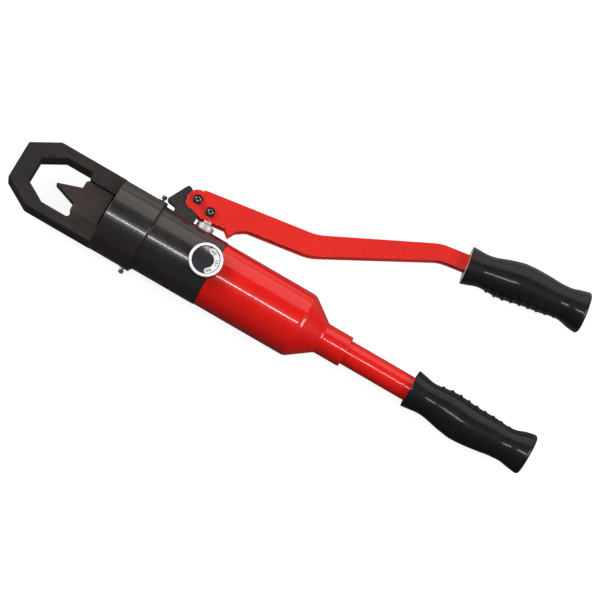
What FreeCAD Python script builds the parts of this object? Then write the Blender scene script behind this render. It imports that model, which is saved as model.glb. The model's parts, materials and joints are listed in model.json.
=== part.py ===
import FreeCAD, Part
import math
import os

from FreeCAD import Vector

# Hand-operated hydraulic nut splitter, lying on its side.
# X runs along the tool from the head to the handles, Y points to the lever, Z up is the side of the
# release knob. The origin is the centre of the hexagonal nut seat. All sizes are in millimetres.

# Head: a forged plate with the nut opening, and a round barrel behind it
SEAT_FLATS = 37.3  # across the flats of the nut seat
HEAD_THICKNESS = 25.0
HEAD_HALF_WIDTH = 30.65
NOSE_HALF_WIDTH = 17.0
NOSE_CORNER = 1.5
SHOULDER_CORNER = 5.0
END_WALL = 15.55  # metal in front of the seat, along X
FLANK_ANGLE = 30.0  # slanted sides of seat and nose, to the X axis
OPENING_BACK = 24.8  # rear edge of the nut opening
OPENING_CORNER = 2.5
SEAT_TO_BARREL = 50.4
BARREL_LENGTH = 38.1
BARREL_ROUND_WALL = 5.0  # outside the pump body's spigot
BARREL_WALL = 7.6  # front wall of the barrel, which the blade passes through
HEAD_EDGE = 1.0  # chamfer round the plate
BARREL_EDGE = 0.8

# Ram, blade and return spring
RAM_RADIUS = 23.0
RAM_LENGTH = 26.0
RAM_OUT = 18.5  # how far the ram stands out of its rear stop as drawn
RAM_STOP_GAP = 0.5
RAM_HOLLOW_RADIUS = 9.0
RAM_HOLLOW_DEPTH = 17.0
RAM_FRONT_EDGE = 1.0
RAM_REAR_EDGE = 0.6
SEAL_WIDTH = 4.0
SEAL_DEPTH = 3.5
BACKUP_WIDTH = 1.5
SEAL_FROM_REAR = 5.0
SEAL_GROOVE = 0.5  # half width of the groove between the seal's lips
TIP_GAP = 20.75  # from the end wall of the seat to the chisel edge as drawn
WEDGE_LENGTH = 20.4
WEDGE_HALF_ROOT = 7.3
BLADE_HALF_WIDTH = 14.85
BLADE_THICKNESS = 13.0
BLADE_CHAMFER = 1.6
CHISEL_FLAT = 0.5
NECK_GAP = 2.9  # from the thick part of the blade to the barrel as drawn
NECK_STEP = 1.2  # the neck is this much slimmer on every side
TANG_HALF_WIDTH = 10.0
TANG_THICKNESS = 10.0
TANG_LENGTH = 5.0
BLADE_PIN_RADIUS = 1.5
BLADE_PIN_SHORT = 1.5  # each end stops this far inside the ram's radius
SPRING_RADIUS = 5.4
SPRING_WIRE = 1.8
SPRING_PITCH = 2.4
STUD_RADIUS = 4.4
STUD_FOOT_RADIUS = 7.0
STUD_FOOT_DEPTH = 6.0
STUD_REACH = 8.0
SPRING_END_GAP = 1.0

# Pump body: three stretches behind the cylinder floor add up to its length
SPIGOT_LENGTH = 14.5  # screwed into the barrel
SPIGOT_WALL = 4.0  # outside the ram
BODY_WALL = 6.0
JOINT_TO_FLOOR = 21.5
FLOOR_TO_PLUNGER = 15.3
PLUNGER_TO_RELEASE = 15.5
RELEASE_TO_REAR = 7.8
REAR_SPIGOT_LENGTH = 8.0
NIPPLE_LENGTH = 13.4
NIPPLE_RADIUS = 18.0
OIL_BORE = 1.5  # radius of the drilled oil ways
SMALL_OIL_BORE = 1.2
ORING_SET_BACK = 3.0  # from the start of a spigot
BODY_EDGE = 0.4
NIPPLE_EDGE = 0.8
NIPPLE_GROOVE = 1.0

# Head lock: a wire ring with two tabs, held by two small screws
RING_WIRE = 1.6
TAB_LENGTH = 8.6
TAB_WIDTH = 3.4
TAB_THICKNESS = 0.8
LOCK_FROM_JOINT = 4.3
LOCK_SHANK_RADIUS = 1.0
LOCK_HEAD_RADIUS = 2.1
LOCK_HEAD_HEIGHT = 2.8
LOCK_NECK = 1.8
LOCK_DEPTH = 4.0

# Lever pivot, and the bracket that carries it
PIVOT_FROM_JOINT = 20.3
PIVOT_OVER_BODY = 18.3
BRACKET_SINK = 3.0  # the lug starts this far under the round body before it is cut to fit
BRACKET_FOOT_START = -12.4  # from the pivot
BRACKET_FOOT_END = 5.9
BRACKET_FOOT_WIDTH = 17.0
BRACKET_FOOT_TOP = 3.4  # over the pump body
LUG_OUTLINE = [  # x, y from the pivot, corner radius; the foot comes before the last two
    (-22.0, -10.8, 0.9),
    (-12.2, 8.4, 2.4),
    (-6.2, 4.9, 3.0),
    (-3.0, 6.4, 1.5),
    (6.5, 6.4, 3.5),
    (BRACKET_FOOT_START, -13.8, 2.5),
    (-20.2, -12.6, 1.5),
]

# Lever: a pressed channel, drawn from the pivot, with a along the arm and b across it
LEVER_REST_ANGLE = 8.45
LEVER_WIDTH = 13.0
SHEET = 2.5
CHEEK_GAP = 0.3  # between a cheek and the bracket
NOSE_RADIUS = 8.7
WEB_START = 2.7
ARM_TOP = 10.0
ARM_DEPTH = 18.9
BEND_IN_TOP = 102.5
BEND_IN_BOTTOM = 103.2
BEND_OUT_TOP = 201.1
BEND_OUT_BOTTOM = 205.5
TANG_CENTRE = 36.2
TANG_DEPTH = 13.4
ARM_UNDERSIDE = [  # from the tooth forwards to the nose, with a, b and corner radius
    (38.6, -13.2, 6.0),
    (34.3, -19.5, 1.0),
    (29.8, -14.2, 3.0),
    (7.0, -13.7, 4.5),
    (0.0, -9.7, 3.0),
    (-NOSE_RADIUS, -8.2, 5.5),
]
UNDERSIDE_START = (47.0, 12.0)  # where the straight lower edge ends, and its corner radius
BEND_RADII = (45.0, 38.0, 30.0, 40.0)  # top in and out, bottom out and in
CHANNEL_REACH = 30.0  # the hollow of the channel is cut this far past its lower edge
LEVER_GRIP_START = 227.3
LEVER_GRIP_LENGTH = 107.4
TANG_END_GAP = 14.0  # from the end of the tang to the end of the grip

# Bolts of the lever: hexagon head, shank, nut
BOLT_RADIUS = 2.5
BOLT_FLATS = 8.0
BOLT_HEAD_HEIGHT = 3.5
NUT_HEIGHT = 4.0
BOLT_THREAD_OUT = 1.2
CROWN_OVER_FLATS = 0.25  # the turned crown is this much larger in radius than half the flats
CROWN_SLOPE = 1.25
PIVOT_CLEARANCE = 0.08
SIDE_CLEARANCE = 0.1

# Plunger and its gland. The drive pin stands off the pivot by these two, as drawn
DRIVE_FORWARD = 14.1
DRIVE_DROP = 4.2
PLUNGER_RADIUS = 5.0
PLUNGER_CLEARANCE = 0.03
PLUNGER_HEAD_GAP = 0.4  # to each cheek of the lever
PLUNGER_NECK_WIDTH = 6.6
PLUNGER_SHOULDER = 10.2  # below the drive pin
PLUNGER_TIP_HEIGHT = 12.8
PLUNGER_BORE_FLOOR = 10.0
HEAD_HALF_LENGTH = 6.7
HEAD_WALL = 2.6
HEAD_CORNER = 2.0
DRIVE_SLOT_PLAY = 0.15
DRIVE_SLOT_HALF = 0.9
GLAND_RADIUS = 7.75
GLAND_THREAD_RADIUS = 7.5
GLAND_HEIGHT = 4.2
GLAND_THREAD = 9.5
GLAND_SEAL_HEIGHT = 3.3
GLAND_EDGE = 0.6

# Check valves, relief valve and plugs
VALVE_BORE_RADIUS = 5.0
INLET_PORT_HEIGHT = -14.0
INLET_SEAT_TOP = -8.0
INLET_SEAT_HEIGHT = 4.0
INLET_BALL_RADIUS = 3.0
INLET_POCKET_TOP = -1.5
INLET_PLUG_TOP = -18.0
OUTLET_Y = 8.0
OUTLET_Z = 9.5
OUTLET_BORE_RADIUS = 3.2
OUTLET_DEPTH = 8.3
OUTLET_BALL_RADIUS = 2.0
OUTLET_SCREW_LENGTH = 1.6
GALLERY_Z = -10.0
RELIEF_SEAT = -13.0
RELIEF_BALL_RADIUS = 2.5
RELIEF_BORE_RADIUS = 4.5
RELIEF_SCREW_LENGTH = 6.0
RELIEF_PORT_Z = -15.3
SOCKET_FLATS = 4.0
SOCKET_DEPTH = 3.0
BALL_GAP = 0.01  # to the edge of the hole that it closes
OUTLET_SCREW_BORE = 1.0
OUTLET_SPRING_RADIUS = 2.0
OUTLET_SPRING_WIRE = 0.8
OUTLET_SPRING_PITCH = 1.15
OUTLET_BALL_NEST = 0.6  # how far the ball sits inside its spring
RELIEF_SPRING_RADIUS = 2.3
RELIEF_SPRING_WIRE = 1.0
RELIEF_SPRING_PITCH = 1.3
RELIEF_BALL_NEST = 1.0
FLUSH_DEPTH = 0.6  # plugs end this far under the round body

# Release valve: a knob on a stem
STEM_RADIUS = 4.0
STEM_CLEARANCE = 0.05
STEM_NECK_RADIUS = 2.5
STEM_NECK_TOP = 14.0
STEM_CONE_TOP = 10.4
STEM_CONE_END = 7.3
STEM_BORE_FLOOR = 8.0
STEM_SEAL_Z = 22.8
STEM_SQUARE = 5.0
RELEASE_PORT_Z = 11.0
KNOB_RADIUS = 14.25
KNOB_GAP = 0.6
KNOB_HEIGHT = 9.0
KNOB_RIM = 2.6
KNOB_DISH = 1.0
KNOB_DISC = 1.2
KNOB_EDGE = 0.7
SCREW_POCKET_DEPTH = 2.0  # under the disc
SCREW_POCKET_RADIUS = 3.2
SCREW_HEAD_RADIUS = 2.6
SCREW_HEAD_GAP = 0.3  # to the disc
SCREW_RADIUS = 1.25
SCREW_LENGTH = 4.0  # in the stem, under the knob
STEM_TIP_RADIUS = 0.5
LABEL_THICKNESS = 0.3
LABEL_WIDTH = 4.5
LABEL_MARGIN = 0.45  # to the edge of the disc
LABEL_START = -71.0  # to the X axis
LABEL_END = 96.0

# Reservoir, oil bladder and handle
SHELL_LENGTH = 85.0
SHELL_STEP = 0.5  # the shell is this much smaller than the pump body, in radius
SHELL_WALL = 3.0
SHELL_ROUND = 9.0
CONE_LENGTH = 20.6
COLLAR_LENGTH = 23.1
COLLAR_RADIUS = 13.45
COLLAR_ROUND = 4.0
COLLAR_EDGE = 0.8
SHELL_EDGE = 0.5
INSIDE_ROUND = 4.0
TUBE_RADIUS = 10.65
TUBE_WALL = 2.6
TUBE_INSERT = 19.0
TUBE_SHOWN = 60.6
TUBE_END_GAP = 8.0
GRIP_LENGTH = 112.6
GRIP_STATIONS = [  # share of the length, radius
    (0.0, 17.3),
    (0.14, 14.5),
    (0.43, 18.0),
    (0.62, 16.7),
    (0.80, 14.6),
    (0.97, 18.4),
]
GRIP_END_STEP = 2.0  # how much smaller the flat end is than the flare
GRIP_END_ROUND = (0.6, 0.4)  # a point of the end's rounding, in from the end and the flare
BLADDER_WALL = 1.8
BLADDER_GAP = 2.5
BLADDER_LENGTH = 56.0
BLADDER_NECK = 10.0
BLADDER_FLARE = 4.0  # length of the slope from the neck to the barrel
BLADDER_END_ROUND = 8.0
CLAMP_WIDTH = 5.0
CLAMP_THICKNESS = 1.4
FILLER_RADIUS = 6.5
FILLER_LENGTH = 8.0
PLUG_RADIUS = 4.0
PLUG_HEAD = 2.0
ORING_SECTION = 1.8
ORING_SQUEEZE = 0.1  # how much thinner the stem's ring is

# Radii that follow from the sizes above
SPIGOT_RADIUS = RAM_RADIUS + SPIGOT_WALL
BODY_RADIUS = RAM_RADIUS + BODY_WALL
BARREL_RADIUS = SPIGOT_RADIUS + BARREL_ROUND_WALL
SHELL_RADIUS = BODY_RADIUS - SHELL_STEP
REAR_SPIGOT_RADIUS = SHELL_RADIUS - SHELL_WALL
BLADDER_RADIUS = REAR_SPIGOT_RADIUS - BLADDER_GAP

# Places that follow from the sizes above
SEAT_END = -SEAT_FLATS / 2
HEAD_END = SEAT_END - END_WALL
BARREL_FRONT = SEAT_TO_BARREL
JOINT_X = BARREL_FRONT + BARREL_LENGTH
FLOOR_X = JOINT_X + JOINT_TO_FLOOR
PLUNGER_X = FLOOR_X + FLOOR_TO_PLUNGER
RELEASE_X = PLUNGER_X + PLUNGER_TO_RELEASE
BODY_END = RELEASE_X + RELEASE_TO_REAR
SPIGOT_END = BODY_END + REAR_SPIGOT_LENGTH
NIPPLE_END = SPIGOT_END + NIPPLE_LENGTH
CONE_START = BODY_END + SHELL_LENGTH
COLLAR_START = CONE_START + CONE_LENGTH
COLLAR_END = COLLAR_START + COLLAR_LENGTH
GRIP_START = COLLAR_END + TUBE_SHOWN
RAM_REAR = FLOOR_X - RAM_STOP_GAP - RAM_OUT
RAM_FRONT = RAM_REAR - RAM_LENGTH
CHISEL_X = SEAT_END + TIP_GAP
BLADE_FRONT = CHISEL_X + WEDGE_LENGTH
PIVOT_X = JOINT_X + PIVOT_FROM_JOINT
PIVOT_HEIGHT = BODY_RADIUS + PIVOT_OVER_BODY
DRIVE_X = PIVOT_X + DRIVE_FORWARD
DRIVE_Y = PIVOT_HEIGHT - DRIVE_DROP

SEAT_HALF_SPAN = SEAT_FLATS / math.sqrt(3)
HALF_PLATE = HEAD_THICKNESS / 2
HALF_BLADE = BLADE_THICKNESS / 2
CHEEK_OUT = LEVER_WIDTH / 2
CHEEK_IN = CHEEK_OUT - SHEET
DISC_RADIUS = KNOB_RADIUS - KNOB_RIM
LABEL_OUTER = DISC_RADIUS - LABEL_MARGIN
LABEL_INNER = LABEL_OUTER - LABEL_WIDTH
BRACKET_THICKNESS = 2 * (CHEEK_IN - CHEEK_GAP)
PLUNGER_HEAD_THICKNESS = 2 * (CHEEK_IN - PLUNGER_HEAD_GAP)
BLADE_CLEARANCE = 0.3
RAM_CLEARANCE = 0.03
FREE_GAP = 0.3

AXES = {"x": Vector(1, 0, 0), "y": Vector(0, 1, 0), "z": Vector(0, 0, 1)}


# ---- small helpers ----


def placed(axis, across, along):
    """Point from its place along one axis and its other two coordinates, in x, y, z order."""
    values = list(across)
    values.insert("xyz".index(axis), along)
    return Vector(*values)


def rod(axis, across, start, end, radius):
    """Round rod parallel to an axis, between two places along it."""
    low = min(start, end)
    return Part.makeCylinder(radius, abs(end - start), placed(axis, across, low), AXES[axis])


def ring(axis, across, start, end, inner, outer):
    """Flat ring or bush parallel to an axis."""
    return rod(axis, across, start, end, outer).cut(rod(axis, across, start, end, inner))


def block(x0, x1, y0, y1, z0, z1):
    """Box between two corners."""
    return Part.makeBox(x1 - x0, y1 - y0, z1 - z0, Vector(x0, y0, z0))


def hexagon(axis, across, start, end, flats):
    """Hexagonal prism parallel to an axis."""
    along = AXES[axis]
    side = AXES["y"] if axis == "x" else AXES["x"]
    other = along.cross(side)
    centre = placed(axis, across, start)
    reach = flats / math.sqrt(3)
    corners = []
    for i in range(7):
        turn = math.radians(60 * i)
        corners.append(centre + side * (reach * math.cos(turn)) + other * (reach * math.sin(turn)))
    return Part.Face(Part.makePolygon(corners)).extrude(along * (end - start))


def rounded_wire(corners):
    """Closed wire in the XY plane through (x, y, radius) corners; a radius of 0 stays sharp."""
    count = len(corners)
    joints = []
    for i in range(count):
        before, here, after = (Vector(*corners[(i + k) % count][:2], 0) for k in (-1, 0, 1))
        radius = corners[i][2]
        if radius == 0:
            joints.append((here, here, here))
            continue
        back = (before - here).normalize()
        forth = (after - here).normalize()
        half = back.getAngle(forth) / 2
        reach = radius / math.tan(half)
        inward = (back + forth).normalize()
        middle = here + inward * (radius / math.sin(half) - radius)
        joints.append((here + back * reach, middle, here + forth * reach))
    edges = []
    for i in range(count):
        start, middle, end = joints[i]
        if start != end:
            edges.append(Part.Arc(start, middle, end).toShape())
        edges.append(Part.LineSegment(end, joints[(i + 1) % count][0]).toShape())
    return Part.Wire(edges)


def plate(corners, low, high):
    """Flat piece with a rounded outline in XY, between two heights."""
    face = Part.Face(rounded_wire(corners))
    face.translate(Vector(0, 0, low))
    return face.extrude(Vector(0, 0, high - low))


def turned(corners):
    """Solid turned about the X axis from (x, radius, fillet) corners."""
    return Part.Face(rounded_wire(corners)).revolve(Vector(0, 0, 0), AXES["x"], 360)


def mirrored(points):
    """Outline on the +Y side, from front to back, closed by its mirror image on the -Y side."""
    return points + [(x, -y, r) for x, y, r in reversed(points)]


def oring(axis, across, at, middle_radius, section):
    """O-ring round an axis."""
    return Part.makeTorus(middle_radius, section / 2, placed(axis, across, at), AXES[axis])


def coil(axis, across, start, end, radius, wire, pitch):
    """Helical wire spring along an axis; the wire's middle keeps half a wire inside both ends."""
    height = end - start - wire
    helix = Part.makeHelix(pitch, height, radius)
    circle = Part.makeCircle(wire / 2, Vector(radius, 0, 0), Vector(0, 1, 0))
    spring = Part.Wire(helix.Edges).makePipeShell([Part.Wire(circle)], True, True)
    spring.Placement = FreeCAD.Placement(
        placed(axis, across, start + wire / 2), FreeCAD.Rotation(AXES["z"], AXES[axis])
    )
    return spring


def chamfer_round(solid, heights, size):
    """Bevel the edges that lie wholly at the given heights."""
    edges = []
    for edge in solid.Edges:
        box = edge.BoundBox
        if any(abs(box.ZMin - z) < 1e-6 and abs(box.ZMax - z) < 1e-6 for z in heights):
            edges.append(edge)
    return solid.makeChamfer(size, edges)


def joined(solids):
    """One shape that holds several separate solids."""
    return Part.makeCompound(solids)


def save(name, shape):
    """Write one piece as its own STEP file."""
    shape.exportStep("parts/" + name + ".step")


# ---- head, blade and ram ----


def head_plate():
    """Plate with a flat nose, slanted flanks and parallel sides."""
    flank = (HEAD_HALF_WIDTH - NOSE_HALF_WIDTH) / math.tan(math.radians(FLANK_ANGLE))
    outline = mirrored(
        [
            (HEAD_END, NOSE_HALF_WIDTH, NOSE_CORNER),
            (HEAD_END + flank, HEAD_HALF_WIDTH, SHOULDER_CORNER),
            (BARREL_FRONT + BARREL_EDGE, HEAD_HALF_WIDTH, 0),
        ]
    )
    return chamfer_round(plate(outline, -HALF_PLATE, HALF_PLATE), (-HALF_PLATE, HALF_PLATE), HEAD_EDGE)


def nut_opening():
    """Three sides of a hexagon, then parallel sides back to rounded corners."""
    corners = mirrored(
        [
            (SEAT_END, SEAT_HALF_SPAN / 2, 0),
            (0, SEAT_HALF_SPAN, 0),
            (OPENING_BACK, SEAT_HALF_SPAN, OPENING_CORNER),
        ]
    )
    return plate(corners, -HEAD_THICKNESS, HEAD_THICKNESS)


def head_frame():
    """Plate and barrel in one forging, bored for the ram and threaded for the pump body."""
    barrel = turned(
        [
            (BARREL_FRONT, 0, 0),
            (BARREL_FRONT, BARREL_RADIUS, BARREL_EDGE),
            (JOINT_X, BARREL_RADIUS, BARREL_EDGE),
            (JOINT_X, 0, 0),
        ]
    )
    slot_half = BLADE_HALF_WIDTH + BLADE_CLEARANCE
    slot_deep = HALF_BLADE + BLADE_CLEARANCE
    bore_start = BARREL_FRONT + BARREL_WALL
    axis = (0, 0)
    cuts = [
        nut_opening(),
        block(OPENING_BACK - 1, BARREL_FRONT, -slot_half, slot_half, -HEAD_THICKNESS, HEAD_THICKNESS),
        block(BARREL_FRONT - 1, bore_start + 1, -slot_half, slot_half, -slot_deep, slot_deep),
        rod("x", axis, bore_start, JOINT_X, RAM_RADIUS + FREE_GAP),
        rod("x", axis, JOINT_X - SPIGOT_LENGTH, JOINT_X, SPIGOT_RADIUS),
    ]
    for side in (-1, 1):
        cuts.append(
            rod(
                "y",
                (JOINT_X - LOCK_FROM_JOINT, 0),
                side * (BARREL_RADIUS - LOCK_DEPTH),
                side * (BARREL_RADIUS + 1),
                LOCK_SHANK_RADIUS,
            )
        )
    return head_plate().fuse(barrel).removeSplitter().cut(cuts)


def blade():
    """Chisel: a wedge, a thick flat body, a neck, and a tang that the ram holds."""
    neck_start = BARREL_FRONT - NECK_GAP
    front = mirrored(
        [
            (CHISEL_X, CHISEL_FLAT / 2, 0),
            (BLADE_FRONT, WEDGE_HALF_ROOT, 0),
            (BLADE_FRONT, BLADE_HALF_WIDTH - BLADE_CHAMFER, 0),
            (BLADE_FRONT + BLADE_CHAMFER, BLADE_HALF_WIDTH, 0),
            (neck_start, BLADE_HALF_WIDTH, 0),
        ]
    )
    body = plate(front, -HALF_BLADE, HALF_BLADE)
    width = BLADE_HALF_WIDTH - NECK_STEP
    depth = HALF_BLADE - NECK_STEP
    neck = block(neck_start - 1, RAM_FRONT, -width, width, -depth, depth)
    half = TANG_THICKNESS / 2
    tang = block(RAM_FRONT, RAM_FRONT + TANG_LENGTH, -TANG_HALF_WIDTH, TANG_HALF_WIDTH, -half, half)
    hole = rod("z", (RAM_FRONT + TANG_LENGTH / 2, 0), -half - 1, half + 1, BLADE_PIN_RADIUS)
    return body.fuse([neck, tang]).removeSplitter().cut(hole)


def blade_pin():
    """Cross pin that holds the blade's tang in the ram."""
    length = RAM_RADIUS - BLADE_PIN_SHORT
    return rod("z", (RAM_FRONT + TANG_LENGTH / 2, 0), -length, length, BLADE_PIN_RADIUS)


def ram():
    """Piston, hollow from the rear for the return spring, with a seal groove."""
    radius = RAM_RADIUS - RAM_CLEARANCE
    seal_start = RAM_REAR - SEAL_FROM_REAR - SEAL_WIDTH - BACKUP_WIDTH
    groove = ring("x", (0, 0), seal_start, RAM_REAR - SEAL_FROM_REAR, RAM_RADIUS - SEAL_DEPTH, RAM_RADIUS + 1)
    body = turned(
        [
            (RAM_FRONT, 0, 0),
            (RAM_FRONT, radius, RAM_FRONT_EDGE),
            (RAM_REAR, radius, RAM_REAR_EDGE),
            (RAM_REAR, 0, 0),
        ]
    )
    half = TANG_THICKNESS / 2
    pocket = block(
        RAM_FRONT - 1, RAM_FRONT + TANG_LENGTH, -TANG_HALF_WIDTH, TANG_HALF_WIDTH, -half, half
    )
    hollow = rod("x", (0, 0), RAM_REAR - RAM_HOLLOW_DEPTH, RAM_REAR + 1, RAM_HOLLOW_RADIUS)
    return body.cut([groove, pocket, hollow, blade_pin()])


def ram_seal():
    """Lip seal of the ram, with a groove in the face that the oil presses on."""
    end = RAM_REAR - SEAL_FROM_REAR
    inner = RAM_RADIUS - SEAL_DEPTH
    outer = RAM_RADIUS - RAM_CLEARANCE
    middle = (inner + outer) / 2
    return turned(
        [
            (end - SEAL_WIDTH, inner, 0),
            (end - SEAL_WIDTH, outer, 0),
            (end, outer, 0),
            (end, middle + SEAL_GROOVE, 0),
            (end - SEAL_WIDTH / 2, middle, 0),
            (end, middle - SEAL_GROOVE, 0),
            (end, inner, 0),
        ]
    )


def ram_backup_ring():
    """Hard ring in front of the lip seal."""
    end = RAM_REAR - SEAL_FROM_REAR - SEAL_WIDTH
    return ring("x", (0, 0), end - BACKUP_WIDTH, end, RAM_RADIUS - SEAL_DEPTH, RAM_RADIUS - RAM_CLEARANCE)


def return_spring():
    """Extension spring that pulls the ram back, screwed over a stud at each end."""
    hollow_floor = RAM_REAR - RAM_HOLLOW_DEPTH
    size = (SPRING_RADIUS, SPRING_WIRE, SPRING_PITCH)
    return coil("x", (0, 0), hollow_floor + SPRING_END_GAP, FLOOR_X - SPRING_END_GAP, *size)


def ram_stud():
    """Spring stud on the floor of the ram's hollow."""
    floor = RAM_REAR - RAM_HOLLOW_DEPTH
    return rod("x", (0, 0), floor, floor + STUD_REACH, STUD_RADIUS)


def body_stud():
    """Spring stud screwed into the cylinder floor, with a wide foot."""
    foot = rod("x", (0, 0), FLOOR_X, FLOOR_X + STUD_FOOT_DEPTH, STUD_FOOT_RADIUS)
    return foot.fuse(rod("x", (0, 0), FLOOR_X - STUD_REACH, FLOOR_X + 1, STUD_RADIUS)).removeSplitter()


# ---- pump body and the head lock ----


def pump_body_blank():
    """Outside of the pump body: front spigot, body, rear spigot and the bladder's nipple."""
    front = JOINT_X - SPIGOT_LENGTH
    groove = NIPPLE_END - BLADDER_NECK / 2
    outside = turned(
        [
            (front, 0, 0),
            (front, SPIGOT_RADIUS, 0),
            (JOINT_X, SPIGOT_RADIUS, 0),
            (JOINT_X, BODY_RADIUS, 0),
            (BODY_END, BODY_RADIUS, BODY_EDGE),
            (BODY_END, REAR_SPIGOT_RADIUS, 0),
            (SPIGOT_END, REAR_SPIGOT_RADIUS, 0),
            (SPIGOT_END, NIPPLE_RADIUS, 0),
            (NIPPLE_END, NIPPLE_RADIUS, NIPPLE_EDGE),
            (NIPPLE_END, 0, 0),
        ]
    )
    return outside.cut(
        [
            oring("x", (0, 0), groove, NIPPLE_RADIUS, NIPPLE_GROOVE),
            oring_groove(front + ORING_SET_BACK, SPIGOT_RADIUS),
            oring_groove(BODY_END + ORING_SET_BACK, REAR_SPIGOT_RADIUS),
        ]
    )


def oring_groove(at, radius):
    """Square groove for an O-ring in a spigot."""
    half = ORING_SECTION / 2
    return ring("x", (0, 0), at - half, at + half, radius - ORING_SECTION, radius + 1)


def plunger_bores():
    """Bores along the plunger's line: gland, plunger, inlet pocket and inlet plug."""
    across = (PLUNGER_X, 0)
    top = BODY_RADIUS
    return [
        rod("y", across, top - GLAND_THREAD - GLAND_SEAL_HEIGHT, top + 1, GLAND_THREAD_RADIUS),
        rod("y", across, PLUNGER_BORE_FLOOR, top, PLUNGER_RADIUS),
        rod("y", across, INLET_POCKET_TOP - 1, PLUNGER_BORE_FLOOR + 1, OIL_BORE),
        rod("y", across, -BODY_RADIUS - 1, INLET_POCKET_TOP, VALVE_BORE_RADIUS),
    ]


def release_bores():
    """Bores along the release valve's line: stem, its seal, the seat and the relief pocket."""
    across = (RELEASE_X, 0)
    bore = STEM_RADIUS + STEM_CLEARANCE
    seal_half = ORING_SECTION / 2
    groove = bore + ORING_SECTION - ORING_SQUEEZE
    return [
        rod("z", across, STEM_BORE_FLOOR, BODY_RADIUS + 1, bore),
        rod("z", across, STEM_SEAL_Z - seal_half, STEM_SEAL_Z + seal_half, groove),
        rod("z", across, RELIEF_SEAT - 1, STEM_BORE_FLOOR + 1, OIL_BORE),
        rod("z", across, -BODY_RADIUS - 1, RELIEF_SEAT, RELIEF_BORE_RADIUS),
    ]


def oil_ways():
    """Drilled passages between the valves, the cylinder and the reservoir."""
    return [
        rod("x", (INLET_PORT_HEIGHT, 0), PLUNGER_X, NIPPLE_END + 1, OIL_BORE),
        rod("x", (OUTLET_Y, OUTLET_Z), FLOOR_X - 1, FLOOR_X + OUTLET_DEPTH, OUTLET_BORE_RADIUS),
        rod("x", (OUTLET_Y, OUTLET_Z), FLOOR_X, PLUNGER_X, SMALL_OIL_BORE),
        rod("z", (PLUNGER_X, OUTLET_Y), 0, OUTLET_Z, SMALL_OIL_BORE),
        rod("x", (0, GALLERY_Z), FLOOR_X - 1, RELEASE_X, OIL_BORE),
        rod("x", (0, RELEASE_PORT_Z), RELEASE_X, NIPPLE_END + 1, OIL_BORE),
        rod("x", (0, RELIEF_PORT_Z), RELEASE_X, NIPPLE_END + 1, SMALL_OIL_BORE),
    ]


def pump_body():
    """Steel pump body with its cylinder, bores and oil ways."""
    cylinder = rod("x", (0, 0), JOINT_X - SPIGOT_LENGTH - 1, FLOOR_X, RAM_RADIUS)
    stud_hole = rod("x", (0, 0), FLOOR_X - 1, FLOOR_X + STUD_FOOT_DEPTH, STUD_FOOT_RADIUS)
    return pump_body_blank().cut([cylinder, stud_hole] + plunger_bores() + release_bores() + oil_ways())


def spigot_oring(at, radius):
    """O-ring in a spigot's groove."""
    return oring("x", (0, 0), at, radius - ORING_SECTION / 2, ORING_SECTION)


def lock_ring():
    """Wire ring in the corner behind the barrel, with a tab along the barrel on each side."""
    wire = oring("x", (0, 0), JOINT_X + RING_WIRE / 2, BODY_RADIUS + RING_WIRE / 2, RING_WIRE)
    shape = wire
    half = TAB_WIDTH / 2
    start = JOINT_X - TAB_LENGTH + RING_WIRE / 2
    end = JOINT_X + RING_WIRE / 2
    for side in (-1, 1):
        low = side * BARREL_RADIUS
        high = side * (BARREL_RADIUS + TAB_THICKNESS)
        tab = block(start, end, min(low, high), max(low, high), -half, half)
        foot_low = side * (BODY_RADIUS + RING_WIRE / 2)
        foot = block(JOINT_X, end, min(foot_low, high), max(foot_low, high), -half, half)
        hole = rod("y", (JOINT_X - LOCK_FROM_JOINT, 0), low * 0.9, high * 1.1, LOCK_SHANK_RADIUS)
        shape = shape.fuse([tab, foot]).cut(hole)
    return shape.removeSplitter()


def lock_screws():
    """Two small screws through the tabs into the barrel."""
    across = (JOINT_X - LOCK_FROM_JOINT, 0)
    neck_end = BARREL_RADIUS + TAB_THICKNESS + LOCK_NECK
    screws = []
    for side in (-1, 1):
        shank = rod("y", across, side * (BARREL_RADIUS - LOCK_DEPTH), side * neck_end, LOCK_SHANK_RADIUS)
        head = rod("y", across, side * neck_end, side * (neck_end + LOCK_HEAD_HEIGHT), LOCK_HEAD_RADIUS)
        screws.append(shank.fuse(head).removeSplitter())
    return joined(screws)


# ---- lever, bracket and their bolts ----


def lever_bracket():
    """Lug between the lever's cheeks, with an arched nose and a saddle foot on the pump body."""
    base = BODY_RADIUS - PIVOT_HEIGHT
    corners = LUG_OUTLINE[:-2] + [
        (LUG_OUTLINE[-3][0], base + BRACKET_FOOT_TOP, 0),
        (BRACKET_FOOT_END, base - BRACKET_SINK, 0),
        (BRACKET_FOOT_START, base - BRACKET_SINK, 0),
    ] + LUG_OUTLINE[-2:]
    half = BRACKET_THICKNESS / 2
    lug = plate([(PIVOT_X + x, PIVOT_HEIGHT + y, r) for x, y, r in corners], -half, half)
    foot = block(
        PIVOT_X + BRACKET_FOOT_START,
        PIVOT_X + BRACKET_FOOT_END,
        BODY_RADIUS - BRACKET_SINK,
        BODY_RADIUS + BRACKET_FOOT_TOP,
        -BRACKET_FOOT_WIDTH / 2,
        BRACKET_FOOT_WIDTH / 2,
    )
    shape = lug.fuse(foot).removeSplitter()
    return shape.cut(
        [
            rod("x", (0, 0), JOINT_X, BODY_END, BODY_RADIUS),
            rod("z", (PIVOT_X, PIVOT_HEIGHT), -half - 1, half + 1, BOLT_RADIUS + PIVOT_CLEARANCE),
        ]
    )


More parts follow.
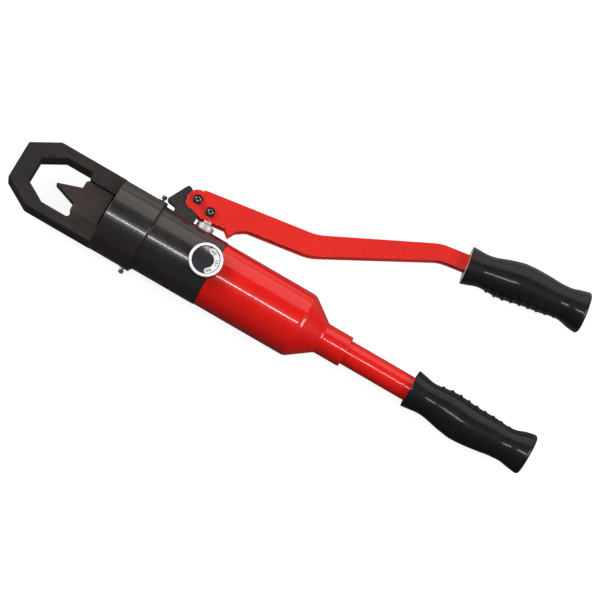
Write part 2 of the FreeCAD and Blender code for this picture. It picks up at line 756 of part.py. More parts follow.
def lever_outline(top_cut=0.0, drop=0.0, start=None):
    """Side view of the lever. top_cut lowers its top edge and drop lowers its bottom edge."""
    top = ARM_TOP - top_cut
    bottom = ARM_TOP - ARM_DEPTH - drop
    tang_top = TANG_CENTRE + TANG_DEPTH / 2 - top_cut
    tang_bottom = TANG_CENTRE - TANG_DEPTH / 2 - drop
    tang_end = LEVER_GRIP_START + LEVER_GRIP_LENGTH - TANG_END_GAP
    arm = [
        (BEND_IN_TOP, top, BEND_RADII[0]),
        (BEND_OUT_TOP, tang_top, BEND_RADII[1]),
        (tang_end, tang_top, 0),
        (tang_end, tang_bottom, 0),
        (BEND_OUT_BOTTOM, tang_bottom, BEND_RADII[2]),
        (BEND_IN_BOTTOM, bottom, BEND_RADII[3]),
    ]
    if start is not None:
        return [(start, top, 0)] + arm + [(start, bottom, 0)]
    nose = [
        (-NOSE_RADIUS, NOSE_RADIUS, NOSE_RADIUS - 0.1),
        (WEB_START - 0.5, NOSE_RADIUS, 0),
        (WEB_START, top, 0.4),
    ]
    return nose + arm + [(UNDERSIDE_START[0], bottom, UNDERSIDE_START[1])] + ARM_UNDERSIDE


def lever_frame(shape):
    """Move a shape from the lever's own axes to the tool's."""
    shape.rotate(Vector(0, 0, 0), AXES["z"], LEVER_REST_ANGLE)
    shape.translate(Vector(PIVOT_X, PIVOT_HEIGHT, 0))
    return shape


def drive_pin_place():
    """Centre of the drive pin in the lever's own axes."""
    turn = math.radians(LEVER_REST_ANGLE)
    forward = DRIVE_FORWARD * math.cos(turn) - DRIVE_DROP * math.sin(turn)
    across = -DRIVE_FORWARD * math.sin(turn) - DRIVE_DROP * math.cos(turn)
    return (forward, across)


def lever_channel():
    """Pressed channel: two cheeks joined by a web along the top edge behind the nose."""
    outside = plate(lever_outline(), -CHEEK_OUT, CHEEK_OUT)
    hollow = plate(lever_outline(SHEET, CHANNEL_REACH, WEB_START + 1), -CHEEK_IN, CHEEK_IN)
    mouth = block(
        -CHANNEL_REACH, WEB_START + 1.5, -CHANNEL_REACH, CHANNEL_REACH, -CHEEK_IN, CHEEK_IN
    )
    holes = [
        rod("z", (0, 0), -LEVER_WIDTH, LEVER_WIDTH, BOLT_RADIUS + PIVOT_CLEARANCE),
        rod("z", drive_pin_place(), -LEVER_WIDTH, LEVER_WIDTH, BOLT_RADIUS),
    ]
    return lever_frame(outside.cut([hollow, mouth] + holes))


def cross_bolt(x, y, stand_off):
    """Hexagon bolt along Z whose head and nut stand off the cheeks by a clearance."""
    face = CHEEK_OUT + stand_off
    end = -face - NUT_HEIGHT - BOLT_THREAD_OUT
    head = hexagon("z", (x, y), face, face + BOLT_HEAD_HEIGHT, BOLT_FLATS)
    crown = rod("z", (x, y), face - 1, face + BOLT_HEAD_HEIGHT + 1, BOLT_FLATS / 2 + CROWN_OVER_FLATS)
    crown = crown.makeChamfer(CROWN_SLOPE, [crown.Edges[0]])
    return head.common(crown).fuse(rod("z", (x, y), end, face, BOLT_RADIUS)).removeSplitter()


def cross_nut(x, y, stand_off):
    """Nut at the far end of a cross bolt."""
    face = CHEEK_OUT + stand_off
    return hexagon("z", (x, y), -face - NUT_HEIGHT, -face, BOLT_FLATS).cut(
        rod("z", (x, y), -face - NUT_HEIGHT - 1, 0, BOLT_RADIUS)
    )


# ---- plunger ----


def plunger():
    """Round plunger, a flat neck through the gland, and a slotted head round the drive pin."""
    half = PLUNGER_HEAD_THICKNESS / 2
    shoulder = DRIVE_Y - PLUNGER_SHOULDER
    slot = BOLT_RADIUS + DRIVE_SLOT_PLAY
    head_low = DRIVE_Y - slot - HEAD_WALL
    head_high = DRIVE_Y + slot + HEAD_WALL
    left = DRIVE_X - HEAD_HALF_LENGTH
    right = PLUNGER_X + PLUNGER_RADIUS
    round_part = rod("y", (PLUNGER_X, 0), PLUNGER_TIP_HEIGHT, shoulder, PLUNGER_RADIUS - PLUNGER_CLEARANCE)
    neck = block(
        PLUNGER_X - PLUNGER_NECK_WIDTH / 2,
        PLUNGER_X + PLUNGER_NECK_WIDTH / 2,
        shoulder - 1,
        head_low + 1,
        -half,
        half,
    )
    corners = [
        (left, head_low, HEAD_CORNER),
        (left, head_high, HEAD_CORNER),
        (right, head_high, HEAD_CORNER),
        (right, head_low, HEAD_CORNER),
    ]
    head = plate(corners, -half, half)
    ends = [rod("z", (DRIVE_X + k * DRIVE_SLOT_HALF, DRIVE_Y), -half - 1, half + 1, slot) for k in (-1, 1)]
    middle = block(
        DRIVE_X - DRIVE_SLOT_HALF,
        DRIVE_X + DRIVE_SLOT_HALF,
        DRIVE_Y - slot,
        DRIVE_Y + slot,
        -half - 1,
        half + 1,
    )
    return round_part.fuse([neck, head]).removeSplitter().cut(ends + [middle])


def gland_nut():
    """Plated nut round the plunger, screwed into the top of the pump body."""
    across = (PLUNGER_X, 0)
    flange = rod("y", across, BODY_RADIUS, BODY_RADIUS + GLAND_HEIGHT, GLAND_RADIUS)
    flange = flange.makeChamfer(GLAND_EDGE, [flange.Edges[0]])
    thread = rod("y", across, BODY_RADIUS - GLAND_THREAD, BODY_RADIUS + 1, GLAND_THREAD_RADIUS)
    bore = rod("y", across, 0, BODY_RADIUS + GLAND_HEIGHT + 1, PLUNGER_RADIUS)
    return flange.fuse(thread).removeSplitter().cut(bore)


def gland_seal():
    """Rubber seal under the gland nut."""
    low = BODY_RADIUS - GLAND_THREAD - GLAND_SEAL_HEIGHT
    return ring("y", (PLUNGER_X, 0), low, low + GLAND_SEAL_HEIGHT, PLUNGER_RADIUS, GLAND_THREAD_RADIUS)


# ---- valves ----


def socket_plug(axis, across, start, end, radius):
    """Round plug or screw with a hexagon socket in the face at its end."""
    side = 1 if end > start else -1
    socket = hexagon(axis, across, end - side * SOCKET_DEPTH, end + side, SOCKET_FLATS)
    return rod(axis, across, start, end, radius).cut(socket)


def flush_end(radius):
    """Depth at which a round plug ends just under the round pump body."""
    return math.sqrt(BODY_RADIUS**2 - radius**2) - FLUSH_DEPTH


def inlet_plug():
    """Plug that closes the inlet valve's bore from below."""
    end = -flush_end(VALVE_BORE_RADIUS)
    return socket_plug("y", (PLUNGER_X, 0), INLET_PLUG_TOP, end, VALVE_BORE_RADIUS)


def inlet_seat():
    """Screwed-in seat under the inlet ball."""
    low = INLET_SEAT_TOP - INLET_SEAT_HEIGHT
    return ring("y", (PLUNGER_X, 0), low, INLET_SEAT_TOP, OIL_BORE, VALVE_BORE_RADIUS)


def ball_on_seat(radius, hole):
    """How far the centre of a ball stands off the face of the hole that it closes."""
    return math.sqrt(radius**2 - hole**2) + BALL_GAP


def inlet_ball():
    """Ball that lets oil up into the plunger's bore."""
    rise = ball_on_seat(INLET_BALL_RADIUS, OIL_BORE)
    return Part.makeSphere(INLET_BALL_RADIUS, Vector(PLUNGER_X, INLET_SEAT_TOP + rise, 0))


def outlet_seat_x():
    """Floor of the outlet valve's bore, where its ball seats."""
    return FLOOR_X + OUTLET_DEPTH


def outlet_ball_x():
    """Centre of the outlet ball on its seat."""
    return outlet_seat_x() - ball_on_seat(OUTLET_BALL_RADIUS, SMALL_OIL_BORE)


def outlet_ball():
    """Ball that lets oil out into the cylinder."""
    return Part.makeSphere(OUTLET_BALL_RADIUS, Vector(outlet_ball_x(), OUTLET_Y, OUTLET_Z))


def outlet_screw():
    """Drilled screw that backs the outlet spring."""
    end = FLOOR_X + OUTLET_SCREW_LENGTH
    return ring("x", (OUTLET_Y, OUTLET_Z), FLOOR_X, end, OUTLET_SCREW_BORE, OUTLET_BORE_RADIUS)


def outlet_spring():
    """Spring between the drilled screw and the outlet ball."""
    start = FLOOR_X + OUTLET_SCREW_LENGTH
    end = outlet_ball_x() - OUTLET_BALL_RADIUS + OUTLET_BALL_NEST
    size = (OUTLET_SPRING_RADIUS, OUTLET_SPRING_WIRE, OUTLET_SPRING_PITCH)
    return coil("x", (OUTLET_Y, OUTLET_Z), start, end, *size)


def relief_ball():
    """Ball of the overload valve, below its seat."""
    drop = ball_on_seat(RELIEF_BALL_RADIUS, OIL_BORE)
    return Part.makeSphere(RELIEF_BALL_RADIUS, Vector(RELEASE_X, 0, RELIEF_SEAT - drop))


def relief_screw():
    """Adjusting screw of the overload valve."""
    end = -flush_end(RELIEF_BORE_RADIUS)
    return socket_plug("z", (RELEASE_X, 0), end + RELIEF_SCREW_LENGTH, end, RELIEF_BORE_RADIUS)


def relief_spring():
    """Stiff spring between the adjusting screw and the relief ball."""
    start = -flush_end(RELIEF_BORE_RADIUS) + RELIEF_SCREW_LENGTH
    end = RELIEF_SEAT - 2 * RELIEF_BALL_RADIUS + RELIEF_BALL_NEST
    size = (RELIEF_SPRING_RADIUS, RELIEF_SPRING_WIRE, RELIEF_SPRING_PITCH)
    return coil("z", (RELEASE_X, 0), start, end, *size)


# ---- release knob ----


def knob_low():
    """Underside of the knob."""
    return BODY_RADIUS + KNOB_GAP


def knob_high():
    """Top of the knob's rim."""
    return knob_low() + KNOB_HEIGHT


def disc_floor():
    """Floor of the recess that holds the black disc."""
    return knob_high() - KNOB_DISH - KNOB_DISC


def square_top():
    """Top of the stem's square, and the floor of the screw's pocket."""
    return disc_floor() - SCREW_POCKET_DEPTH


def release_stem():
    """Threaded stem with a conical tip and a square top."""
    across = (RELEASE_X, 0)
    half = STEM_SQUARE / 2
    shaft = rod("z", across, STEM_NECK_TOP, knob_low(), STEM_RADIUS)
    neck = rod("z", across, STEM_CONE_TOP, STEM_NECK_TOP, STEM_NECK_RADIUS)
    cone = Part.makeCone(
        STEM_TIP_RADIUS, STEM_NECK_RADIUS, STEM_CONE_TOP - STEM_CONE_END, Vector(RELEASE_X, 0, STEM_CONE_END)
    )
    square = block(RELEASE_X - half, RELEASE_X + half, -half, half, knob_low() - 1, square_top())
    hole = rod("z", across, knob_low() - SCREW_LENGTH, square_top() + 1, SCREW_RADIUS)
    return shaft.fuse([neck, cone, square]).removeSplitter().cut(hole)


def release_knob():
    """Knob with a raised rim, a recess for its disc, and a square hole for the stem."""
    across = (RELEASE_X, 0)
    half = STEM_SQUARE / 2
    body = rod("z", across, knob_low(), knob_high(), KNOB_RADIUS)
    body = body.makeChamfer(KNOB_EDGE, [body.Edges[0], body.Edges[2]])
    return body.cut(
        [
            rod("z", across, disc_floor(), knob_high() + 1, DISC_RADIUS),
            rod("z", across, square_top(), disc_floor() + 1, SCREW_POCKET_RADIUS),
            block(RELEASE_X - half, RELEASE_X + half, -half, half, knob_low() - 1, square_top()),
        ]
    )


def knob_screw():
    """Screw down into the stem, under the black disc."""
    across = (RELEASE_X, 0)
    head = rod("z", across, square_top(), disc_floor() - SCREW_HEAD_GAP, SCREW_HEAD_RADIUS)
    shank = rod("z", across, knob_low() - SCREW_LENGTH, square_top() + SCREW_HEAD_GAP, SCREW_RADIUS)
    return head.fuse(shank).removeSplitter()


def knob_disc():
    """Black disc in the knob's recess."""
    return rod("z", (RELEASE_X, 0), disc_floor(), disc_floor() + KNOB_DISC, DISC_RADIUS)


def knob_label():
    """Arc plate on the disc, with round ends."""
    low = disc_floor() + KNOB_DISC
    high = low + LABEL_THICKNESS
    across = (RELEASE_X, 0)
    middle = (LABEL_INNER + LABEL_OUTER) / 2
    half = (LABEL_OUTER - LABEL_INNER) / 2
    band = ring("z", across, low, high, LABEL_INNER, LABEL_OUTER)
    sweep = math.radians(LABEL_END - LABEL_START)
    sector = Part.makeCylinder(
        LABEL_OUTER + 1,
        high - low,
        Vector(RELEASE_X, 0, low),
        AXES["z"],
        math.degrees(sweep),
    )
    sector.rotate(Vector(RELEASE_X, 0, 0), AXES["z"], LABEL_START)
    ends = []
    for angle in (LABEL_START, LABEL_END):
        turn = math.radians(angle)
        place = (RELEASE_X + middle * math.cos(turn), middle * math.sin(turn))
        ends.append(rod("z", place, low, high, half))
    return band.common(sector).fuse(ends).removeSplitter()


def stem_seal():
    """O-ring round the release stem."""
    section = ORING_SECTION - ORING_SQUEEZE
    return oring("z", (RELEASE_X, 0), STEM_SEAL_Z, STEM_RADIUS + STEM_CLEARANCE + section / 2, section)


# ---- reservoir and handle ----


def reservoir_shell():
    """Painted shell: tube, cone and the collar that the handle tube enters."""
    tube_stop = COLLAR_END - TUBE_INSERT
    inner = SHELL_RADIUS - SHELL_WALL
    return turned(
        [
            (BODY_END, inner, 0),
            (BODY_END, SHELL_RADIUS, SHELL_EDGE),
            (CONE_START, SHELL_RADIUS, SHELL_ROUND),
            (COLLAR_START, COLLAR_RADIUS, COLLAR_ROUND),
            (COLLAR_END, COLLAR_RADIUS, COLLAR_EDGE),
            (COLLAR_END, TUBE_RADIUS, 0),
            (tube_stop, TUBE_RADIUS, 0),
            (tube_stop, TUBE_RADIUS - TUBE_WALL, 0),
            (COLLAR_START - SHELL_WALL, TUBE_RADIUS - TUBE_WALL, 0),
            (CONE_START - SHELL_WALL / 2, inner, INSIDE_ROUND),
        ]
    )


def handle_tube():
    """Round tube from the collar to near the end of the fixed grip."""
    start = COLLAR_END - TUBE_INSERT
    end = GRIP_START + GRIP_LENGTH - TUBE_END_GAP
    return ring("x", (0, 0), start, end, TUBE_RADIUS - TUBE_WALL, TUBE_RADIUS)


def grip_body(length):
    """Waisted grip along X from the origin, closed at its far end."""
    curve = Part.BSplineCurve()
    curve.interpolate([Vector(share * length, radius, 0) for share, radius in GRIP_STATIONS])
    end_radius = GRIP_STATIONS[-1][1]
    last = Vector(GRIP_STATIONS[-1][0] * length, end_radius, 0)
    middle = Vector(length - GRIP_END_ROUND[0], end_radius - GRIP_END_ROUND[1], 0)
    end = Vector(length, end_radius - GRIP_END_STEP, 0)
    edges = [
        Part.LineSegment(Vector(0, 0, 0), Vector(0, GRIP_STATIONS[0][1], 0)).toShape(),
        curve.toShape(),
        Part.Arc(last, middle, end).toShape(),
        Part.LineSegment(end, Vector(length, 0, 0)).toShape(),
        Part.LineSegment(Vector(length, 0, 0), Vector(0, 0, 0)).toShape(),
    ]
    return Part.Face(Part.Wire(edges)).revolve(Vector(0, 0, 0), AXES["x"], 360)


def fixed_grip():
    """Grip on the handle tube."""
    grip = grip_body(GRIP_LENGTH).cut(rod("x", (0, 0), -1, GRIP_LENGTH - TUBE_END_GAP, TUBE_RADIUS))
    grip.translate(Vector(GRIP_START, 0, 0))
    return grip


def lever_grip():
    """Grip on the lever's tang."""
    grip = grip_body(LEVER_GRIP_LENGTH)
    grip.translate(Vector(LEVER_GRIP_START, TANG_CENTRE, 0))
    half = TANG_DEPTH / 2
    pocket = block(
        LEVER_GRIP_START - 1,
        LEVER_GRIP_START + LEVER_GRIP_LENGTH - TANG_END_GAP,
        TANG_CENTRE - half,
        TANG_CENTRE + half,
        -CHEEK_OUT,
        CHEEK_OUT,
    )
    return lever_frame(grip.cut(pocket))


def oil_bladder():
    """Rubber bag: a neck over the nipple, a wide barrel and a filler neck."""
    neck_start = NIPPLE_END - BLADDER_NECK
    wide = NIPPLE_END + BLADDER_FLARE
    end = NIPPLE_END + BLADDER_LENGTH
    inner = BLADDER_RADIUS - BLADDER_WALL
    return turned(
        [
            (neck_start, NIPPLE_RADIUS, 0),
            (neck_start, NIPPLE_RADIUS + BLADDER_WALL, 0),
            (NIPPLE_END, NIPPLE_RADIUS + BLADDER_WALL, 1.0),
            (wide, BLADDER_RADIUS, 2.0),
            (end, BLADDER_RADIUS, BLADDER_END_ROUND),
            (end, FILLER_RADIUS, 0),
            (end + FILLER_LENGTH, FILLER_RADIUS, 0),
            (end + FILLER_LENGTH, PLUG_RADIUS, 0),
            (end - BLADDER_WALL, PLUG_RADIUS, 0),
            (end - BLADDER_WALL, inner, BLADDER_END_ROUND - BLADDER_WALL),
            (wide, inner, 1.0),
            (NIPPLE_END, NIPPLE_RADIUS, 0),
        ]
    )


def bladder_clamp():
    """Band that clamps the bladder's neck on the nipple."""
    middle = NIPPLE_END - BLADDER_NECK / 2
    inner = NIPPLE_RADIUS + BLADDER_WALL
    half = CLAMP_WIDTH / 2
    return ring("x", (0, 0), middle - half, middle + half, inner, inner + CLAMP_THICKNESS)


def filler_plug():
    """Plug in the bladder's filler neck."""
    end = NIPPLE_END + BLADDER_LENGTH + FILLER_LENGTH
    shank = rod("x", (0, 0), end - FILLER_LENGTH, end, PLUG_RADIUS)
    return shank.fuse(rod("x", (0, 0), end, end + PLUG_HEAD, FILLER_RADIUS)).removeSplitter()


PIECES = {
    "head_frame": head_frame,
    "blade": blade,
    "blade_pin": blade_pin,
    "ram": ram,
    "ram_seal": ram_seal,
    "ram_backup_ring": ram_backup_ring,
    "return_spring": return_spring,
    "ram_stud": ram_stud,
    "body_stud": body_stud,
    "pump_body": pump_body,
    "head_oring": lambda: spigot_oring(JOINT_X - SPIGOT_LENGTH + ORING_SET_BACK, SPIGOT_RADIUS),
    "reservoir_oring": lambda: spigot_oring(BODY_END + ORING_SET_BACK, REAR_SPIGOT_RADIUS),
    "lock_ring": lock_ring,
    "lock_screws": lock_screws,
    "lever_bracket": lever_bracket,
    "pivot_bolt": lambda: cross_bolt(PIVOT_X, PIVOT_HEIGHT, SIDE_CLEARANCE),
    "pivot_nut": lambda: cross_nut(PIVOT_X, PIVOT_HEIGHT, SIDE_CLEARANCE),
    "lever_channel": lever_channel,
    "drive_bolt": lambda: cross_bolt(DRIVE_X, DRIVE_Y, 0),
    "drive_nut": lambda: cross_nut(DRIVE_X, DRIVE_Y, 0),
    "lever_grip": lever_grip,
    "plunger": plunger,
    "gland_nut": gland_nut,
    "gland_seal": gland_seal,
    "inlet_plug": inlet_plug,
    "inlet_seat": inlet_seat,
    "inlet_ball": inlet_ball,
    "outlet_screw": outlet_screw,
    "outlet_spring": outlet_spring,
    "outlet_ball": outlet_ball,
    "relief_screw": relief_screw,
    "relief_spring": relief_spring,
    "relief_ball": relief_ball,
    "release_stem": release_stem,
    "stem_seal": stem_seal,
    "release_knob": release_knob,
    "knob_screw": knob_screw,
    "knob_disc": knob_disc,
    "knob_label": knob_label,
    "reservoir_shell": reservoir_shell,
    "oil_bladder": oil_bladder,
    "bladder_clamp": bladder_clamp,
    "filler_plug": filler_plug,
    "handle_tube": handle_tube,
    "fixed_grip": fixed_grip,
}

os.makedirs("parts", exist_ok=True)
for name, make in PIECES.items():
    save(name, make())
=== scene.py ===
import json
import math

import bmesh
import bpy
from mathutils import Matrix, Vector, noise
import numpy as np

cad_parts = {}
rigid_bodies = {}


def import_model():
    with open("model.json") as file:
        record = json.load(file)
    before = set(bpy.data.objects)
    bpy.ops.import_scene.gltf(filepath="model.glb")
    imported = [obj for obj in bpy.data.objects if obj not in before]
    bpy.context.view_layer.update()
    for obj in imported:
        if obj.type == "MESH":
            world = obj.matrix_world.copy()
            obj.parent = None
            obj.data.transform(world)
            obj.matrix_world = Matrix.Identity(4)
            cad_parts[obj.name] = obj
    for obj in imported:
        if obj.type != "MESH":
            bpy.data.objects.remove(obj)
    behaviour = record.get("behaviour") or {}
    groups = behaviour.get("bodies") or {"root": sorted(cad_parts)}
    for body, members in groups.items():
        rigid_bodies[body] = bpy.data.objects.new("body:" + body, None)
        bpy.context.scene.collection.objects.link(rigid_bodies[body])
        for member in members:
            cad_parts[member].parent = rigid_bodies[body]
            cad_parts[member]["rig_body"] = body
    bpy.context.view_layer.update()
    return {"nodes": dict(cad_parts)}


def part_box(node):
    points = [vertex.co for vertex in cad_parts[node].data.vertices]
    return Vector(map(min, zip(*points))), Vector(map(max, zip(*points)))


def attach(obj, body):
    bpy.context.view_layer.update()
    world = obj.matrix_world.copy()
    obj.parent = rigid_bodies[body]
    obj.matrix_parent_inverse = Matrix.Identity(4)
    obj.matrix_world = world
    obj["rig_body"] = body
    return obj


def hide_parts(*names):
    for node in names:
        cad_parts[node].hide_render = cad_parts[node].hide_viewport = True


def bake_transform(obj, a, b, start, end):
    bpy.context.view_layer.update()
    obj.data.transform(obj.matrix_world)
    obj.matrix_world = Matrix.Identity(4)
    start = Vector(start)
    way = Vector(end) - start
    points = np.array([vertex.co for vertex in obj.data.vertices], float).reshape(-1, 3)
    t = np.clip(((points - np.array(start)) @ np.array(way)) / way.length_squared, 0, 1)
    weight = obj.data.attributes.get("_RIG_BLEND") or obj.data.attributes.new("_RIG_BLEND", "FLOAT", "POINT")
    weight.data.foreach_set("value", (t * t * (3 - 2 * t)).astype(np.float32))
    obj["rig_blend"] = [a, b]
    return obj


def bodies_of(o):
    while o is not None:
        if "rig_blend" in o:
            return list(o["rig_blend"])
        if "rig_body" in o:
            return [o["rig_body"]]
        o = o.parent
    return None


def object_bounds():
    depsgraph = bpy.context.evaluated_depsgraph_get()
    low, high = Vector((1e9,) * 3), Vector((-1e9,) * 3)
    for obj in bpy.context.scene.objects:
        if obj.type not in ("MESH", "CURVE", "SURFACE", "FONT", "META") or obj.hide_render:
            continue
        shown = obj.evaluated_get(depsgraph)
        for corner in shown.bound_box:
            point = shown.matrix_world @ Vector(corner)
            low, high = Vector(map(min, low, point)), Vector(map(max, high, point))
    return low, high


# Hydraulic nut splitter. Sizes below are in millimetres and turned into metres by MM.
# X runs from the head to the handles, Y points to the lever, Z is the side of the release knob.
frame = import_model()
MM = 0.001

# Lever: the place of its pivot, the angle it lies at, and the place of its grip along and across it
PIVOT = Vector((108.8, 47.3, 0.0))
LEVER_ANGLE = math.radians(8.45)
TANG_CENTRE = 36.2
LEVER_GRIP_START = 227.3
LEVER_GRIP_LENGTH = 107.4

# Head: the front of the barrel, and the gap between it and the thick part of the chisel
BARREL_FRONT = 50.4
NECK_GAP = 2.9

# Grips: distance of the edge from the axis, on the outer side and on the side with the ribs
GRIP_OUTER = [(0, 15.8), (6, 15.0), (15, 14.0), (22, 14.4), (28, 15.6), (35, 17.1), (42, 18.2),
              (48, 18.9), (55, 18.7), (61, 18.2), (68, 17.3), (75, 16.3), (81, 15.2), (88, 14.5),
              (94, 14.3), (101, 15.4), (108, 16.3), (111, 16.6), (112.6, 15.8)]
GRIP_INNER = [(0, 17.6), (8, 16.0), (15, 14.7), (22, 15.0), (28, 15.9), (35, 16.6), (42, 16.5),
              (48, 16.0), (55, 15.5), (61, 15.2), (68, 15.2), (75, 15.1), (81, 14.6), (88, 14.3),
              (94, 15.3), (101, 17.8), (108, 19.4), (111, 19.4), (112.6, 18.6)]
GRIP_LENGTH = 112.6
GRIP_STEPS = 96
FLANK_INSET = 0.6
FLATNESS = 0.97
TUBE_HALF = (10.7, 10.7)
TANG_HALF = (7.6, 7.4)
MOUTH_DEPTH = 14.0
MOUTH_CHAMFER = 0.5
LIP = [(0.0, 0.86), (0.05, 0.93), (0.35, 0.985)]
LIP_LENGTH = 0.9
BODY_RINGS = 230
END_LENGTH = 3.6
END_ROUND = 3.0
END_RADIUS = 18.0
END_CROWN = 0.6
RIB_FIRST = 24.0
RIB_STEP = 7.9
RIBS = 9
RIB_HEIGHT = 1.3
RIB_FADE = 0.08
RIB_WIDTH = 1.15
RIB_SWEEP = 2.6
RIB_REACH = 5

# Knob: its rim and knurled side, the disc in its top, and the scale on the disc
FACE_DEPTH = 1.0
RECESS_DEPTH = 2.2
KNURLS = 56
KNURL_DEPTH = 0.28
DISC_RADIUS = 11.6
DISC_DISH = 1.36
LABEL_INNER = 6.7
LABEL_OUTER = 11.2
LABEL_START = math.radians(-71)
LABEL_END = math.radians(96)
LABEL_THICKNESS = 0.22
MARK_RADIUS = 8.85
MARK_ANGLES = (-60, -52, -44, -36, 0, 12, 24, 62, 70, 78, 86)
LONG_MARKS = (3, 5, 7)
MARK_HALF_WIDTH = math.radians(2.2)

# Bolts: hexagon head with a bare ring in its dished top
BOLT_FLATS = 8.0
BOLT_HEAD = 3.5
BOLT_SHANK = 5.0
RING_INNER = 1.1
RING_OUTER = 2.5

# Weld around the bracket's foot, on the round pump body
BODY_RADIUS = 29.0
WELD_HALF_WIDTH = 8.5
WELD_SIZE = 0.95


# ---- materials ----


class Shader:
    """A Principled material with helpers that add procedural texture to it."""

    def __init__(self, name, colour, **sockets):
        self.material = bpy.data.materials.new(name)
        self.material.use_nodes = True
        self.tree = self.material.node_tree
        self.surface = self.tree.nodes["Principled BSDF"]
        self.surface.inputs["Base Color"].default_value = (*colour, 1)
        self.colour = (*colour, 1)
        self.place = self.add("ShaderNodeTexCoord").outputs["Object"]
        for socket, value in sockets.items():
            self.surface.inputs[socket.replace("_", " ")].default_value = value

    def add(self, kind, **settings):
        node = self.tree.nodes.new(kind)
        for key, value in settings.items():
            setattr(node, key, value)
        return node

    def link(self, source, target):
        self.tree.links.new(source, target)

    def noise(self, scale, detail=4.0, rough=0.55, stretch=(1, 1, 1)):
        """Noise of a number of features per metre, drawn out along the axes by stretch."""
        mapping = self.add("ShaderNodeMapping")
        mapping.inputs["Scale"].default_value = stretch
        self.link(self.place, mapping.inputs["Vector"])
        node = self.add("ShaderNodeTexNoise")
        node.inputs["Scale"].default_value = scale
        node.inputs["Detail"].default_value = detail
        node.inputs["Roughness"].default_value = rough
        self.link(mapping.outputs["Vector"], node.inputs["Vector"])
        return node.outputs["Fac"]

    def remap(self, value, low, high, out_low, out_high):
        node = self.add("ShaderNodeMapRange")
        node.inputs["From Min"].default_value = low
        node.inputs["From Max"].default_value = high
        node.inputs["To Min"].default_value = out_low
        node.inputs["To Max"].default_value = out_high
        self.link(value, node.inputs["Value"])
        return node.outputs["Result"]

    def tint(self, other, mask):
        """Goes from the colour so far to another one where the mask is 1."""
        mix = self.add("ShaderNodeMix", data_type="RGBA")
        socket = self.surface.inputs["Base Color"]
        if socket.is_linked:
            self.link(socket.links[0].from_socket, mix.inputs["A"])
        else:
            mix.inputs["A"].default_value = self.colour
        mix.inputs["B"].default_value = (*other, 1)
        self.link(mask, mix.inputs["Factor"])
        self.link(mix.outputs["Result"], socket)

    def rough(self, value, low, high):
        self.link(self.remap(value, 0.3, 0.7, low, high), self.surface.inputs["Roughness"])

    def bump(self, height, depth, strength=1.0):
        """Raises the surface by height, a depth in millimetres, over what was there."""
        node = self.add("ShaderNodeBump")
        node.inputs["Strength"].default_value = strength
        node.inputs["Distance"].default_value = depth * MM
        self.link(height, node.inputs["Height"])
        socket = self.surface.inputs["Normal"]
        if socket.is_linked:
            self.link(socket.links[0].from_socket, node.inputs["Normal"])
        self.link(node.outputs["Normal"], socket)

    def rings(self, pitch, wobble=0.4):
        """Fine turning marks along X."""
        node = self.add("ShaderNodeTexWave", bands_direction="X")
        node.inputs["Scale"].default_value = 1 / (pitch * MM) / 20
        node.inputs["Distortion"].default_value = wobble
        node.inputs["Detail"].default_value = 2
        self.link(self.place, node.inputs["Vector"])
        return node.outputs["Fac"]


def oxide_steel():
    """Oiled black oxide, forged and then turned, a little brown in places."""
    s = Shader("oxide_steel", (0.017, 0.0145, 0.0145), Roughness=0.22, IOR=1.5)
    s.surface.inputs["Coat Weight"].default_value = 0.5
    s.surface.inputs["Coat Roughness"].default_value = 0.11
    s.tint((0.03, 0.02, 0.0165), s.remap(s.noise(38, 3), 0.45, 0.7, 0, 0.8))
    s.tint((0.011, 0.0105, 0.013), s.remap(s.noise(90, 5, stretch=(0.4, 1, 1)), 0.5, 0.75, 0, 0.7))
    s.rough(s.noise(420, 4, stretch=(0.35, 1, 1)), 0.2, 0.36)
    s.bump(s.rings(0.9), 0.003, 0.25)
    s.bump(s.noise(700, 3), 0.006, 0.25)
    return s.material


def head_steel():
    """Forged plate: satin black oxide with a brown cast and fine grinding marks."""
    s = Shader("head_steel", (0.0175, 0.0142, 0.0145), Roughness=0.4, IOR=1.5)
    s.surface.inputs["Specular IOR Level"].default_value = 0.3
    s.tint((0.03, 0.0205, 0.0185), s.remap(s.noise(30, 3), 0.42, 0.7, 0, 0.8))
    s.tint((0.013, 0.012, 0.014), s.remap(s.noise(120, 5, stretch=(0.25, 1, 1)), 0.5, 0.72, 0, 0.6))
    s.rough(s.noise(500, 4, stretch=(0.2, 1, 1)), 0.3, 0.5)
    s.bump(s.noise(900, 3, stretch=(0.12, 1, 1)), 0.014, 0.45)
    s.bump(s.noise(260, 3), 0.02, 0.3)
    return s.material


def blade_steel():
    """Hardened blade: brown-grey temper colour with grinding marks."""
    s = Shader("blade_steel", (0.04, 0.028, 0.0265), Roughness=0.38, IOR=1.5)
    s.surface.inputs["Specular IOR Level"].default_value = 0.35
    s.tint((0.058, 0.038, 0.033), s.remap(s.noise(45, 3), 0.45, 0.7, 0, 0.7))
    s.tint((0.028, 0.024, 0.026), s.remap(s.noise(160, 4, stretch=(0.3, 1, 1)), 0.5, 0.75, 0, 0.6))
    s.rough(s.noise(600, 4, stretch=(0.2, 1, 1)), 0.28, 0.46)
    s.bump(s.noise(1100, 3, stretch=(0.1, 1, 1)), 0.012, 0.5)
    return s.material


def black_steel():
    """Thin satin black coat on small steel parts."""
    s = Shader("black_steel", (0.022, 0.019, 0.02), Roughness=0.34, IOR=1.5)
    s.tint((0.045, 0.036, 0.034), s.remap(s.noise(130, 5), 0.52, 0.75, 0, 0.7))
    s.rough(s.noise(500, 4), 0.26, 0.44)
    s.bump(s.noise(800, 4), 0.018, 0.4)
    return s.material


